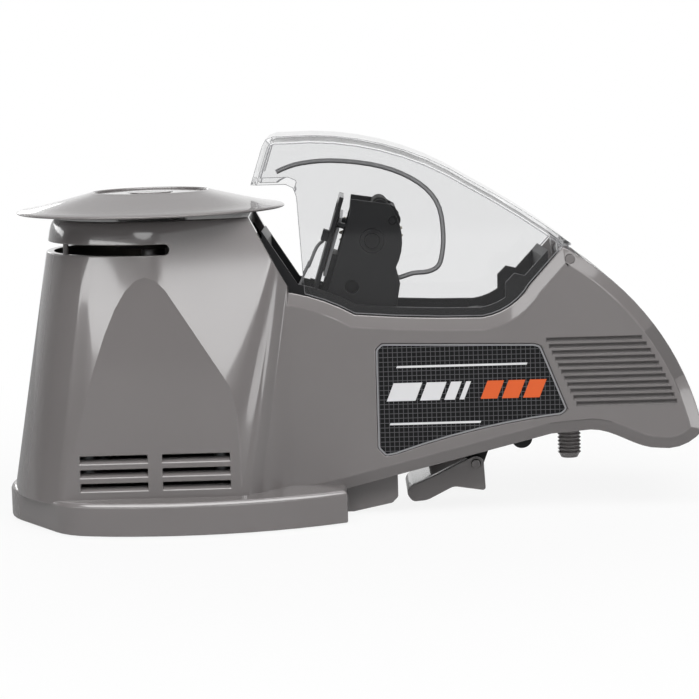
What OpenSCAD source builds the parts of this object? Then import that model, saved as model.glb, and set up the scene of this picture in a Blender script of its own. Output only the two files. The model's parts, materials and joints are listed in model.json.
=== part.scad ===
// Electric tape dispenser with a turntable. A motor feeds the tape, a blade
// cuts it, and a swinging wire lays each strip on the edge of the turning disc.
// Millimetres, +Z up. The turntable is at -X, the nose at +X, and the origin
// is at the middle of the underside.

/* [Base] */
// Length of the base, left edge to right end
base_l = 114.5; // [108:0.5:122]
// Full width of the base
base_w = 100; // [96:1:112]
// Height of the base's top edge above the table
base_h = 9.5; // [8.5:0.5:13]
// Thickness of the base's floor
base_floor_t = 2.6; // [2:0.1:4]
// How far the rubber feet stand below the base
foot_proud = 0.5; // [0.5:0.1:3]
// Radius of a rubber foot
foot_r = 6; // [4:0.5:8]
// Thickness of the steel weight on the base's floor
weight_t = 8; // [4:0.5:10]

/* [Pot] */
// Base's left edge to the turntable's axis
pot_inset = 51; // [50:0.5:54]
// Radius of the pot where it meets the base
pot_r_bottom = 49.6; // [47:0.2:50]
// Radius of the pot at its top, before the round edge
pot_r_top = 33.7; // [32.5:0.1:36]
// Height of the round edge at the pot's top
pot_round = 4.4; // [3:0.2:6]
// Height of the pot's top
pot_top_z = 100.8; // [98:0.2:102]
// Half the distance between the front and back flats at the base
flat_y = 40; // [38.5:0.5:43]
// Lean of the front and back flats in degrees
flat_draft = 2.5; // [2:0.1:4]
// Wall of the housing
wall = 2.6; // [2.2:0.1:3]
// Height of the slot around the pot
slot_h = 3.4; // [3:0.2:6]
// Length of one vent slot
vent_l = 22; // [14:0.5:24]
// Height of one vent slot
vent_h = 2.7; // [1.5:0.1:3.5]

/* [Turntable] */
// Radius of the disc that carries the cut strips
disc_r = 45; // [42:0.5:46]
// Gap between the pot's top and the disc's rim
disc_gap = 1.2; // [0.8:0.1:2]
// Rise of the disc from the rim to the middle
disc_rise = 5; // [3:0.2:6]
// Radius of the round cap in the disc
cap_r = 19; // [15:0.5:24]
// Radius of the turntable's spindle
spindle_r = 4; // [3:0.1:5]
// Outer radius of a spindle bearing
bearing_r = 11; // [9:0.5:12]
// Height of a spindle bearing
bearing_h = 7; // [5:0.5:8]
// Teeth of the spindle's gear
spindle_teeth = 44; // [42:1:46]
// Teeth of the motor's pinion
drive_teeth = 16; // [14:1:18]
// Radius of the turntable's motor
motor_r = 10; // [8:0.5:10.4]

/* [Nose] */
// Turntable's axis to the tip of the nose
pot_to_tip = 182; // [178:0.5:190]
// Width of the nose
nose_w = 50; // [49:0.5:54]
// Turntable's axis to the hood's hinge
pot_to_hinge = 138.5; // [136:0.5:140]
// Height of the hood's hinge
hinge_z = 84; // [83:0.2:85]
// Height of the straight part of the opening's edge
rim_z = 65.5; // [64:0.5:67]
// Height of the hollow under the nose
crest_z = 27; // [25:0.5:28]
// Lowest point of the nose, near the tip
chin_z = 20.2; // [18:0.2:22]
// Width of the bevel along the nose's edges
bevel = 4; // [2:0.2:5]
// Depth of the bevel
bevel_d = 1.6; // [1:0.1:2]
// Number of grip grooves on each side of the nose
groove_count = 11; // [6:1:11]
// Distance from groove to groove
groove_pitch = 2.15; // [1.8:0.05:2.2]

/* [Hood] */
// Thickness of the clear hood
hood_t = 1.8; // [1.4:0.1:2]
// Height of the hood's top
hood_top_z = 126.6; // [125:0.2:130]
// Height of the lower edge of the hood's beak
beak_z = 110.8; // [110.4:0.1:112]
// Radius of the hinge pin
hood_pin_r = 1.5; // [1:0.1:2]

/* [Tray] */
// Thickness of the black tray
tray_t = 2; // [1.6:0.1:2.4]
// How far the tray stands above the housing's edge
tray_proud = 3; // [1:0.2:4]
// Underside of the tray's floor
tray_z = 32; // [31:0.5:34]
// Radius of the tape core
reel_r = 12.5; // [10:0.5:13]
// Radius of the reel's axle
axle_r = 3; // [2:0.1:4]

/* [Feed unit] */
// Turntable's axis to the feed roller's axis
pot_to_feed = 74; // [73:0.2:75]
// Height of the feed roller's axis
feed_z = 91; // [90.5:0.1:91.5]
// Radius of the feed roller
feed_r = 8.5; // [7:0.1:8.8]
// Radius of the feed roller's shaft
feed_shaft_r = 2.5; // [2:0.1:3]
// Room from the inside of a cheek to the wall of the tray
cheek_room = 7.1; // [6.6:0.1:7.1]
// Thickness of a cheek
cheek_t = 2; // [1.5:0.1:2.2]
// Teeth of the feed roller's gear
feed_teeth = 26; // [24:1:28]
// Teeth of the feed motor's pinion
feed_pinion_teeth = 16; // [15:1:17]
// Radius of the pinch roller
pinch_r = 2.8; // [2:0.1:3.2]
// Thickness of the tape path between the two rollers
tape_gap = 0.3; // [0.3:0.05:0.6]
// Lean of the cutter from level in degrees
cut_angle = 72.7; // [71:0.1:74]
// Stroke of the moving blade
cut_stroke = 5; // [3:0.2:6]
// Radius of the steel wire that lays the strip
wire_r = 0.8; // [0.5:0.05:1.1]

/* [Controls] */
// Radius of a button
button_r = 4; // [3:0.1:4.5]
// How far a button goes in
button_travel = 1.2; // [0.6:0.1:1.6]
// Half the width of the control panel
panel_y = 16; // [15:0.2:17]
// Radius of the adjusting leg's thread
leg_r = 4; // [3:0.1:5]
// Radius of the lever's pin
lever_pin_r = 1.5; // [1:0.1:2]

/* [Fits] */
// Radial clearance of a turning or sliding fit
run_gap = 0.05; // [0.02:0.01:0.09]
// Gap between pieces that are set into each other
seat_gap = 0.3; // [0.15:0.05:0.5]
// Size of a gear tooth
gear_module = 0.8; // [0.7:0.05:0.85]

/* [Hidden] */
$fn = 64;
tiny = 0.1;
body_l = pot_inset + pot_to_tip;
base_left_x = -body_l / 2;
base_right_x = base_left_x + base_l;
pot_x = base_left_x + pot_inset;
tip_x = body_l / 2;
disc_z = pot_top_z + disc_gap;
hinge_x = pot_x + pot_to_hinge;
nose_y = nose_w / 2;
nose_in_y = nose_y - wall;
floor_z = foot_proud + base_floor_t;

// Points on the arc from p to q that bulges s to the left of the way there.
function arc_centre(p, q, s) =
    let (c = norm(q - p), r = arc_radius(p, q, s), u = (q - p) / c)
    (p + q) / 2 + [-u[1], u[0]] * (s - sign(s) * r);
function arc_radius(p, q, s) =
    let (c = norm(q - p))
    (c * c / 4 + s * s) / (2 * abs(s));
function arc(p, q, s, n) =
    let (o = arc_centre(p, q, s), r = arc_radius(p, q, s))
    let (a = atan2(p[1] - o[1], p[0] - o[0]))
    let (b = atan2(q[1] - o[1], q[0] - o[0]))
    let (turn = b - a > 180 ? b - a - 360 : b - a < -180 ? b - a + 360 : b - a)
    [for (i = [0 : n]) o + r * [cos(a + turn * i / n), sin(a + turn * i / n)]];

// Left normal of the way from p to q.
function left_of(p, q) = let (u = (q - p) / norm(q - p)) [-u[1], u[0]];

// A closed counter-clockwise outline moved inwards by d.
function inset(pts, d) =
    let (n = len(pts))
    [for (i = [0 : n - 1])
        let (a = left_of(pts[(i + n - 1) % n], pts[i]), b = left_of(pts[i], pts[(i + 1) % n]))
        pts[i] + (a + b) / (1 + a * b) * d];

// An open path moved to its left by d.
function beside(pts, d) =
    let (n = len(pts))
    [for (i = [0 : n - 1])
        let (a = left_of(pts[max(i - 1, 0)], pts[max(i, 1)]))
        let (b = left_of(pts[min(i, n - 2)], pts[min(i + 1, n - 1)]))
        pts[i] + (a + b) / (1 + a * b) * d];

function reversed(pts) = [for (i = [len(pts) - 1 : -1 : 0]) pts[i]];
function rest(pts) = [for (i = [1 : len(pts) - 1]) pts[i]];
function moved(pts, by) = [for (p = pts) p + by];

// Extrudes an XZ outline along Y, centred.
module y_prism(half) {
    rotate([90, 0, 0])
    linear_extrude(height = 2 * half, center = true)
    children();
}

// Extrudes an XZ outline from y0 to y1.
module y_slab(y0, y1) {
    translate([0, (y0 + y1) / 2, 0])
    y_prism(abs(y1 - y0) / 2)
    children();
}

// A round bar along Y at an XZ point.
module y_bar(at, r, y0, y1) {
    translate([at[0], y0, at[1]])
    rotate([-90, 0, 0])
    cylinder(r = r, h = y1 - y0);
}

// A copy on each side of the middle plane.
module both_sides() {
    children();
    mirror([0, 1, 0]) children();
}

// A slab of an XZ outline with a bevel round each of its two faces. The bevel is cut
// by a ring of triangular section that passes the faces by a little.
module bevelled_slab(outline, half, in, depth) {
    n = len(outline);
    past = 0.2;
    rise = past * depth / in;
    rings = [
        [for (p = inset(outline, in + past)) [p[0], half + rise, p[1]]],
        [for (p = inset(outline, -past)) [p[0], half - depth - rise, p[1]]],
        [for (p = inset(outline, -past)) [p[0], half + rise, p[1]]]
    ];
    sides = [for (k = [0 : 2]) for (i = [0 : n - 1])
        let (j = (i + 1) % n, m = (k + 1) % 3)
        each [
            [k * n + i, k * n + j, m * n + i],
            [k * n + j, m * n + j, m * n + i]
        ]];
    difference() {
        y_prism(half) polygon(outline);
        both_sides() polyhedron(points = [for (r = rings) each r], faces = sides, convexity = 6);
    }
}

// A round tube along a path of points, with flat ends.
module tube(path, r, sides) {
    n = len(path);
    function way(i) =
        let (d = path[min(i + 1, n - 1)] - path[max(i - 1, 0)]) d / norm(d);
    function across(i) =
        let (c = cross(way(i), [0, 1, 0])) c / norm(c);
    points = [for (i = [0 : n - 1]) for (k = [0 : sides - 1])
        let (c = across(i), v = cross(way(i), c))
        path[i] + r * (cos(360 * k / sides) * c + sin(360 * k / sides) * v)];
    walls = [for (i = [0 : n - 2]) for (k = [0 : sides - 1])
        let (m = (k + 1) % sides)
        [i * sides + k, (i + 1) * sides + k, (i + 1) * sides + m, i * sides + m]];
    caps = [[for (k = [0 : sides - 1]) k],
        [for (k = [sides - 1 : -1 : 0]) (n - 1) * sides + k]];
    polyhedron(points = points, faces = concat(walls, caps), convexity = 8);
}

// A smooth path through points, n steps from each to the next.
function smooth(pts, n) =
    let (m = len(pts))
    [for (i = [0 : m - 2]) for (k = [0 : (i == m - 2 ? n : n - 1)])
        let (t = k / n)
        let (a = pts[max(i - 1, 0)], b = pts[i], c = pts[i + 1], d = pts[min(i + 2, m - 1)])
        (2 * b + (c - a) * t + (2 * a - 5 * b + 4 * c - d) * t * t
            + (3 * b - a - 3 * c + d) * t * t * t) / 2];

// A spur gear outline with one tooth on +X, turned by half a tooth if asked.
function gear_r(teeth) = gear_module * teeth / 2;
module gear_outline(teeth, half_tooth) {
    pitch_r = gear_r(teeth);
    top_r = pitch_r + 0.75 * gear_module;
    root_r = pitch_r - gear_module;
    thick = 0.39 * 3.1416 * gear_module;
    half_top = (thick / 2 - 0.75 * gear_module * tan(20)) / top_r * 57.2958;
    half_root = (thick / 2 + gear_module * tan(20)) / root_r * 57.2958;
    polygon([for (i = [0 : teeth - 1])
        let (a = 360 * (i + (half_tooth ? 0.5 : 0)) / teeth)
        each [
            root_r * [cos(a - half_root), sin(a - half_root)],
            top_r * [cos(a - half_top), sin(a - half_top)],
            top_r * [cos(a + half_top), sin(a + half_top)],
            root_r * [cos(a + half_root), sin(a + half_root)]
        ]]);
}

// Outline of the housing from the side. The opening's edge runs from the pot's
// lip over the saddle and along the rim to the shoulder and the hinge.
peak = [hinge_x - 2, hinge_z + 4];
lip = [pot_x + pot_r_top - 0.1, pot_top_z];
saddle = [pot_x + 47, rim_z + 9.8];
dip = [saddle[0] + 20.5, rim_z + 2];
shoulder_foot = [hinge_x - 29, rim_z];
shoulder = [hinge_x - 13, (rim_z + peak[1]) / 2 - 0.8];
edge_path = concat(
    [lip],
    arc(saddle, dip, 0.9, 4),
    rest(arc(dip, shoulder_foot, -0.5, 3)),
    rest(arc(shoulder_foot, shoulder, -2.2, 6)),
    [peak]);
leg_x = pot_x + 139.7;
chin_x = tip_x - 14.5;
tip = [tip_x, chin_z + 5.8];
belly_start = [base_right_x, base_h];
belly_end = [leg_x - 8, crest_z - 1];
belly_slope = (belly_end[1] - belly_start[1]) / (belly_end[0] - belly_start[0]);
function belly_z(x) = base_h + belly_slope * (x - base_right_x);
swell = [for (i = [0 : 8])
    [leg_x + 5 + (chin_x - leg_x - 5) * i / 8,
        crest_z + (chin_z - crest_z) * (1 - cos(22.5 * i)) / 2]];
belly_path = concat([belly_start, belly_end], swell);
chin_path = arc([chin_x, chin_z], tip, -2.2, 5);
crown_bulge = -8.2;
crown_c = arc_centre(tip, peak, crown_bulge);
crown_r = arc_radius(tip, peak, crown_bulge);
crown_path = arc(tip, peak, crown_bulge, 16);
nose_path = concat(
    belly_path,
    [for (i = [1 : len(chin_path) - 2]) chin_path[i]],
    crown_path);
edge_back = [for (i = [len(edge_path) - 2 : -1 : 0]) edge_path[i]];
body_outline = concat(nose_path, edge_back, [[base_left_x - 5, pot_top_z], [base_left_x - 5, base_h]]);

// The nose's slab starts inside the pot, and runs under the base's top edge there.
wedge_x = saddle[0] - 1.5;
wedge_y = nose_y - 0.3;
nose_start_x = wedge_x - 12;
nose_drop = 5;
nose_outline = concat(
    [[nose_start_x, base_h - nose_drop], [base_right_x - nose_drop / belly_slope, base_h - nose_drop]],
    [for (p = nose_path) if (p[0] > base_right_x + 1) p],
    [for (p = edge_back) if (p[0] > wedge_x) p],
    [[nose_start_x, saddle[1]]]);

// The pot and the waist that runs from it to the nose, smaller by a gap on every side.
function pot_r_at(z) =
    pot_r_bottom + (pot_r_top - pot_r_bottom) * (z - base_h) / (pot_top_z - base_h);
module pot_and_waist(in) {
    tall = pot_top_z - base_h;
    edge_z = pot_top_z - pot_round;
    edge_in = 0.37 * pot_round;
    hull() {
        translate([pot_x, 0, base_h - tiny])
        cylinder(
            r1 = pot_r_bottom - in, r2 = pot_r_at(edge_z) - in, h = edge_z - base_h + tiny, $fn = 72);
        for (a = [30, 60, 90])
        let (z = edge_z + pot_round * sin(a))
        translate([pot_x, 0, z])
        cylinder(r = pot_r_at(z) - in - edge_in * (1 - cos(a)), h = tiny, $fn = 72);
        translate([wedge_x, in - wedge_y, base_h - tiny])
        cube([tiny, 2 * (wedge_y - in), tall + 2 * tiny]);
    }
}

// Everything between the front and back flats.
flat_lean = tan(flat_draft);
function flat_at(z) = flat_y - flat_lean * (z - base_h);
module between_flats(in) {
    rotate([90, 0, 90])
    linear_extrude(height = 3 * body_l, center = true)
    polygon([
        [in - flat_at(base_h - 1), base_h - 1],
        [flat_at(base_h - 1) - in, base_h - 1],
        [flat_at(pot_top_z + 1) - in, pot_top_z + 1],
        [in - flat_at(pot_top_z + 1), pot_top_z + 1]
    ]);
}

module from_angle(a) {
    translate([crown_c[0], 0, crown_c[1]])
    rotate([0, -a, 0])
    children();
}

// A piece of a ring around the crown's centre.
module crown_ring(r0, r1, a0, a1, half) {
    translate([crown_c[0], 0, crown_c[1]])
    rotate([90, 0, 0])
    rotate([0, 0, a0])
    rotate_extrude(angle = a1 - a0)
    translate([r0, -half])
    square([r1 - r0, 2 * half]);
}

// The base and what stands on it.
corner_x = base_left_x + 23.5;
front_x = pot_x + 8;
corner_drop = 5;
end_y = base_w / 2 - 14;
function bow_y(dx, reach, drop) =
    let (r = (reach * reach + drop * drop) / (2 * drop))
    r - sqrt(r * r - dx * dx) - base_w / 2;
// Points that round the corner q between p and r, starting d before it.
function eased(p, q, r, d, n) =
    let (a = q + (p - q) * d / norm(p - q), b = q + (r - q) * d / norm(r - q))
    [for (i = [0 : n]) let (t = i / n) (1 - t) * (1 - t) * a + 2 * t * (1 - t) * q + t * t * b];
base_bow = [for (i = [0 : 5])
    let (dx = (front_x - corner_x) * (1 - i / 5))
    [front_x - dx, bow_y(dx, front_x - corner_x, corner_drop)]];
base_end = [base_left_x, -10];
base_front = concat(
    eased([base_left_x, 10], base_end, base_bow[0], 9, 4),
    eased(base_end, base_bow[0], base_bow[2], 8, 4),
    [for (i = [2 : 5]) base_bow[i]],
    [for (i = [1 : 7])
        let (dx = (base_right_x - front_x) * i / 7)
        [front_x + dx, bow_y(dx, base_right_x - front_x, base_w / 2 - end_y)]]);
base_outline = concat(base_front, [for (p = reversed(base_front)) [p[0], -p[1]]]);
ledge_in = 1;
ledge_drop = 1.1;
pillar_r = 4.2;
screw_r = 1.3;
pillar_reach = 0.85 * pot_r_bottom;
pillar_at = [
    [pot_x - pillar_reach * cos(45), pillar_reach * sin(45)],
    [wedge_x, wedge_y - 4.5]
];
board_z = floor_z + 10.5;
board_at = [pot_x + 25, base_right_x - 5];
board_y = pillar_at[1][1] - pillar_r - 0.9;

module base_tray() {
    color([0.44, 0.42, 0.42])
    difference() {
        union() {
            difference() {
                base_block();
                base_pocket();
            }
            for (p = pillar_at) both_sides()
            translate([p[0], p[1], foot_proud]) cylinder(r = pillar_r, h = base_h - foot_proud);
            for (x = board_at) both_sides()
            translate([x + (x < pot_x + 30 ? 4 : -4), board_y - 4, foot_proud])
            cylinder(r = 2.5, h = board_z - foot_proud);
        }
        for (p = pillar_at) both_sides() {
            translate([p[0], p[1], 0]) cylinder(r = screw_r + 0.3, h = 2 * base_h);
            translate([p[0], p[1], foot_proud - tiny]) cylinder(r = 3, h = 1.5);
        }
        for (p = foot_at) both_sides()
        translate([p[0], p[1], foot_proud - tiny]) cylinder(r = foot_r + 0.1, h = 1 + tiny);
    }
}

module base_block() {
    union() {
        hull() {
            translate([0, 0, foot_proud])
            linear_extrude(height = base_h - foot_proud - ledge_drop)
            polygon(base_outline);
            translate([0, 0, base_h - tiny])
            linear_extrude(height = tiny)
            polygon(inset(base_outline, ledge_in));
        }
        y_prism(18)
        polygon([
            [base_right_x - 3, foot_proud],
            [base_right_x + 2, foot_proud],
            [base_right_x + 15, foot_proud + 2.6],
            [base_right_x + 17, foot_proud + 4.6],
            [base_right_x + 17, belly_z(base_right_x + 17) - 0.8],
            [base_right_x - 3, belly_z(base_right_x - 3) - 0.8]
        ]);
    }
}

module base_pocket() {
    intersection() {
        translate([0, 0, floor_z])
        linear_extrude(height = base_h)
        union() {
            hull() {
                translate([pot_x, 0]) circle(r = pot_r_bottom - wall - 1.5);
                translate([wedge_x, 2 - nose_in_y]) square([1, 2 * nose_in_y - 4]);
            }
            translate([wedge_x, 2 - nose_in_y])
            square([base_right_x - 5 - wedge_x, 2 * nose_in_y - 4]);
        }
        translate([base_left_x, 2 + wall - flat_y, 0])
        cube([base_l, 2 * (flat_y - wall - 2), 2 * base_h]);
    }
}

foot_at = [[base_left_x + 14, 16], [base_right_x - 14, base_w / 2 - 19]];
module base_feet() {
    color([0.06, 0.06, 0.06])
    for (p = foot_at) both_sides()
    translate([p[0], p[1], 0]) cylinder(r = foot_r, h = foot_proud + 1);
}

module base_screws() {
    color([0.7, 0.7, 0.72])
    for (p = pillar_at) both_sides()
    translate([p[0], p[1], 0])
    union() {
        translate([0, 0, foot_proud]) cylinder(r = 2.7, h = 1.3);
        translate([0, 0, foot_proud]) cylinder(r = screw_r, h = 20 - foot_proud, $fn = 32);
    }
}

weight_l = 52;
weight_y = 17;
module base_weight() {
    color([0.5, 0.5, 0.52])
    translate([pot_x - weight_l / 2 - 4, -weight_y, floor_z])
    cube([weight_l, 2 * weight_y, weight_t]);
}

// The housing: pot, waist and nose in one moulding, open at the top.
slot_z = pot_top_z - 10.9;
slot_a = 79.4;
opening = concat(
    moved([for (i = [0 : len(edge_path) - 2]) edge_path[i]], [0, -6]),
    [[peak[0], peak[1] - 13], [hinge_x + 6, peak[1] - 13]],
    [[hinge_x + 6, hood_top_z], [lip[0], hood_top_z]]);
floor_end_x = leg_x - 12;
boss_top_z = crest_z + 18;
leg_boss_r = leg_r + 3;
vent_x = 2.4;
label_in = 0.6;
label_outline = concat(
    [[pot_x + 74, belly_z(pot_x + 74) + 11]],
    [[pot_x + 76.5, belly_z(pot_x + 76.5) + 7.6]],
    arc([pot_x + 80, belly_z(pot_x + 80) + 7.3], [pot_x + 135, crest_z + 5.6], 1.6, 6),
    [[pot_x + 137, crest_z + 7.4], [pot_x + 128.5, rim_z - 9.8], [pot_x + 126.5, rim_z - 9]],
    [[pot_x + 76, rim_z - 7.6], [pot_x + 74, rim_z - 9.6]]);

function groove_z(i) = rim_z - 8 - groove_pitch * i;
function groove_left(z) = pot_x + 130.4 + (rim_z - 8 - z) * 0.45;
function crown_x(z, r) = crown_c[0] + sqrt(r * r - (z - crown_c[1]) * (z - crown_c[1]));

panel_a0 = 17.5;
panel_a1 = 40.5;
panel_in = 1;
switch_at = [pot_x - 14, base_h + 13.5];
inlet_at = [pot_x + 13, base_h + 11];
switch_x = 6.5;
switch_tall = 9.5;
inlet_r = 5.5;

// Puts a piece on the back flat, its own +Y pointing straight out.
module on_back(at) {
    translate([at[0], flat_at(at[1]), at[1]])
    rotate([flat_draft, 0, 0])
    children();
}

module vents() {
    for (side = [-1, 1]) for (row = [0 : 2])
    let (z = base_h + 4.2 + 4.5 * row, y = -flat_at(z + vent_h) - 0.05)
    translate([pot_x + 1.3 + side * (vent_x + vent_l / 2), 0, 0])
    rotate([90, 0, 90])
    linear_extrude(height = vent_l, center = true)
    polygon([
        [-flat_at(z) - 1, z], [-flat_at(z) - 0.05, z],
        [y + wall + 1.2, z + vent_h - 0.5], [y + wall + 1.2, z + vent_h], [y - 1, z + vent_h]
    ]);
}

module pot_slot() {
    rotate([0, 0, slot_a])
    rotate_extrude(angle = 360 - 2 * slot_a)
    translate([pot_r_top - 7, slot_z])
    square([12, slot_h]);
    for (a = [slot_a, -slot_a])
    rotate([0, 0, a])
    translate([pot_r_top - 7, 0, slot_z + slot_h / 2])
    rotate([0, 90, 0])
    cylinder(r = slot_h / 2, h = 12);
}

module housing_shell() {
    difference() {
        union() {
            intersection() {
                pot_and_waist(0);
                between_flats(0);
                y_prism(2 * base_w) polygon(body_outline);
            }
            difference() {
                bevelled_slab(nose_outline, nose_y, bevel, bevel_d);
                translate([nose_start_x - 1, -nose_y - 1, 0]) cube([body_l, 2 * nose_y + 2, base_h]);
            }
        }
        intersection() {
            union() {
                pot_and_waist(wall);
                translate([wedge_x - 2, -nose_in_y, 0]) cube([body_l, 2 * nose_in_y, 2 * pot_top_z]);
            }
            between_flats(wall);
            y_prism(2 * base_w)
            union() {
                polygon(inset(body_outline, wall));
                polygon([
                    [base_left_x - 5, base_h - 1], [base_right_x - 6, base_h - 1],
                    [base_right_x - 6, base_h + wall + 6], [base_left_x - 5, base_h + wall + 6]
                ]);
            }
        }
        y_prism(nose_in_y) polygon(opening);
        y_prism(nose_in_y)
        polygon([
            [base_right_x - 7, base_h - 4], [floor_end_x, belly_z(floor_end_x) - 4],
            [floor_end_x, belly_z(floor_end_x) + wall + 1], [base_right_x - 7, base_h + wall + 1]
        ]);
    }
}

module main_housing() {
    boss_r = bearing_r + 2.5;
    color([0.44, 0.42, 0.42])
    difference() {
        union() {
            housing_shell();
            translate([pot_x, 0, pot_top_z - wall - bearing_h - 1])
            cylinder(r = boss_r, h = bearing_h + 1 + tiny);
            translate([leg_x, 0, crest_z + 0.6])
            cylinder(r = leg_boss_r, h = boss_top_z - crest_z);
            intersection() {
                for (p = pillar_at) both_sides()
                translate([p[0], p[1], base_h]) cylinder(r = pillar_r, h = 18);
                pot_and_waist(tiny);
                between_flats(tiny);
            }
        }
        translate([pot_x, 0, pot_top_z - wall - bearing_h - 2])
        cylinder(r = bearing_r + run_gap, h = bearing_h + 2);
        translate([pot_x, 0, 0]) cylinder(r = bearing_r - 2.5, h = pot_top_z + 1);
        translate([pot_x, 0, 0]) pot_slot();
        vents();
        for (p = pillar_at) both_sides()
        translate([p[0], p[1], 0]) cylinder(r = screw_r, h = 24, $fn = 32);
        translate([leg_x, 0, 0]) cylinder(r = leg_r + run_gap, h = boss_top_z - 1.5);
        y_bar([hinge_x, hinge_z], hood_pin_r, -nose_y - 1, nose_y + 1);
        both_sides() {
            y_slab(-nose_y - 1, label_in - nose_y) polygon(label_outline);
            for (i = [0 : groove_count - 1])
            let (z = groove_z(i), x = groove_left(z))
            translate([x, -nose_y - 1, z - 0.55])
            cube([crown_x(z, crown_r - 6) - x, 1.7, 1.1]);
        }
        crown_ring(crown_r - 8, crown_r + 4, panel_a0, panel_a1, panel_y + 0.2);
        on_back(switch_at)
        translate([-switch_x - 0.1, -8, -switch_tall - 0.1])
        cube([2 * switch_x + 0.2, 12, 2 * switch_tall + 0.2]);
        on_back(inlet_at)
        translate([0, -8, 0]) rotate([-90, 0, 0]) cylinder(r = inlet_r + 0.1, h = 12);
    }
}

module labels() {
    color([0.05, 0.05, 0.05])
    both_sides()
    y_slab(-nose_y + 0.05, label_in - nose_y) polygon(inset(label_outline, 0.15));
}

// The turntable on its spindle.
bearing_z = [
    pot_top_z - wall - bearing_h,
    pot_top_z - wall - bearing_h - 26.5
];
mount_z = bearing_z[1] + bearing_h;
mount_t = 3;
gear_z = mount_z + 2;
gear_h = 6;
module turntable_disc() {
    top_z = disc_z + 2 + disc_rise;
    hub_z = pot_top_z + 0.6;
    color([0.5, 0.48, 0.48])
    translate([pot_x, 0, 0])
    rotate_extrude($fn = 128)
    polygon(concat(
        [[spindle_r + 3.2, hub_z], [spindle_r + 8, hub_z], [spindle_r + 8, top_z - 4.6]],
        arc([cap_r, top_z - 4.4], [disc_r - 5, disc_z], 0.4, 4),
        [[disc_r - 0.5, disc_z + 0.5], [disc_r, disc_z + 0.9], [disc_r - 0.5, disc_z + 1.4]],
        [[disc_r - 5, disc_z + 2], [disc_r - 5.4, disc_z + 2.4]],
        arc([disc_r - 6, disc_z + 2.5], [cap_r + 0.6, top_z], -0.5, 4),
        [[cap_r + 0.2, top_z - 0.4], [cap_r + 0.2, top_z - 2.4], [spindle_r + 3.2, top_z - 2.4]]));
}

cap_z = disc_z + disc_rise - 0.4;
head_in = 1;
head_r = 7.4;
module centre_cap() {
    color([0.48, 0.46, 0.46])
    translate([pot_x, 0, cap_z])
    difference() {
        union() {
            cylinder(r = cap_r, h = 1.6);
            cylinder(r1 = cap_r - 0.3, r2 = cap_r - 0.8, h = 2.1);
        }
        translate([0, 0, head_in]) cylinder(r = head_r + 0.3, h = 3);
        translate([0, 0, -1]) cylinder(r = 3.1, h = 5);
    }
}

module cap_screw() {
    color([0.42, 0.4, 0.4])
    translate([pot_x, 0, cap_z + head_in])
    difference() {
        union() {
            cylinder(r = head_r, h = 1);
            translate([0, 0, -13]) cylinder(r = 3 * spindle_r / 4 - 0.5, h = 13.5);
        }
        translate([-5, -0.8, 0.5]) cube([10, 1.6, 1]);
    }
}

module spindle() {
    hub_z = pot_top_z - wall + 0.3;
    color([0.75, 0.75, 0.77])
    translate([pot_x, 0, 0])
    difference() {
        union() {
            translate([0, 0, bearing_z[1] - 3])
            cylinder(r = spindle_r - run_gap, h = hub_z - bearing_z[1] + 3 + tiny);
            translate([0, 0, hub_z]) cylinder(r = spindle_r + 1.5, h = 1.5);
            translate([0, 0, hub_z + 1.5])
            cylinder(r = spindle_r + 3.2, h = cap_z - hub_z - 1.5);
        }
        translate([0, 0, disc_z + disc_rise - 14])
        cylinder(r = 3 * spindle_r / 4 - 0.5, h = 20);
    }
}

module spindle_gear() {
    color([0.9, 0.88, 0.8])
    translate([pot_x, 0, gear_z])
    difference() {
        linear_extrude(height = gear_h) gear_outline(spindle_teeth, false);
        translate([0, 0, -1]) cylinder(r = spindle_r - run_gap, h = gear_h + 2);
    }
}

drive_x = pot_x - gear_r(spindle_teeth) - gear_r(drive_teeth);
module drive_pinion() {
    odd = spindle_teeth % 2 == 1;
    color([0.8, 0.66, 0.32])
    translate([drive_x, 0, 0])
    union() {
        translate([0, 0, gear_z])
        linear_extrude(height = gear_h)
        gear_outline(drive_teeth, !odd);
        translate([0, 0, mount_z - 10]) cylinder(r = 1.5, h = gear_z - mount_z + 10 + tiny);
    }
}

module bearings() {
    color([0.72, 0.72, 0.75])
    for (z = bearing_z)
    translate([pot_x, 0, z])
    difference() {
        cylinder(r = bearing_r, h = bearing_h - tiny);
        translate([0, 0, -1]) cylinder(r = spindle_r, h = bearing_h + 2);
        for (s = [-1, bearing_h - 0.8])
        translate([0, 0, s])
        difference() {
            cylinder(r = bearing_r - 2, h = 1.6);
            translate([0, 0, -1]) cylinder(r = spindle_r + 1.6, h = 4);
        }
    }
}

post_r = 3.2;
mount_reach = min(
    pot_r_at(mount_z) - wall - post_r - 0.9,
    pillar_reach - pillar_r - post_r - 1);
post_at = [
    [pot_x - mount_reach * cos(45), mount_reach * sin(45)],
    [pot_x + mount_reach * cos(45), mount_reach * sin(45)]
];
module motor_mount() {
    plate_r = mount_reach + 2.1;
    color([0.6, 0.6, 0.62])
    difference() {
        union() {
            intersection() {
                translate([pot_x, 0, mount_z - mount_t]) cylinder(r = plate_r, h = mount_t);
                translate([pot_x - 40, 6 - flat_y, 0]) cube([72, 2 * flat_y - 12, 2 * mount_z]);
            }
            translate([pot_x, 0, bearing_z[1] - 1.5])
            cylinder(r = bearing_r + 2, h = bearing_h + 1);
        }
        translate([pot_x, 0, bearing_z[1]]) cylinder(r = bearing_r + run_gap, h = bearing_h + 1);
        translate([pot_x, 0, 0]) cylinder(r = spindle_r + 2, h = 2 * mount_z);
        translate([drive_x, 0, 0]) cylinder(r = 4, h = 2 * mount_z);
        for (p = post_at) both_sides()
        translate([p[0], p[1], 0]) cylinder(r = 1.6, h = 2 * mount_z);
    }
}

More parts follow.
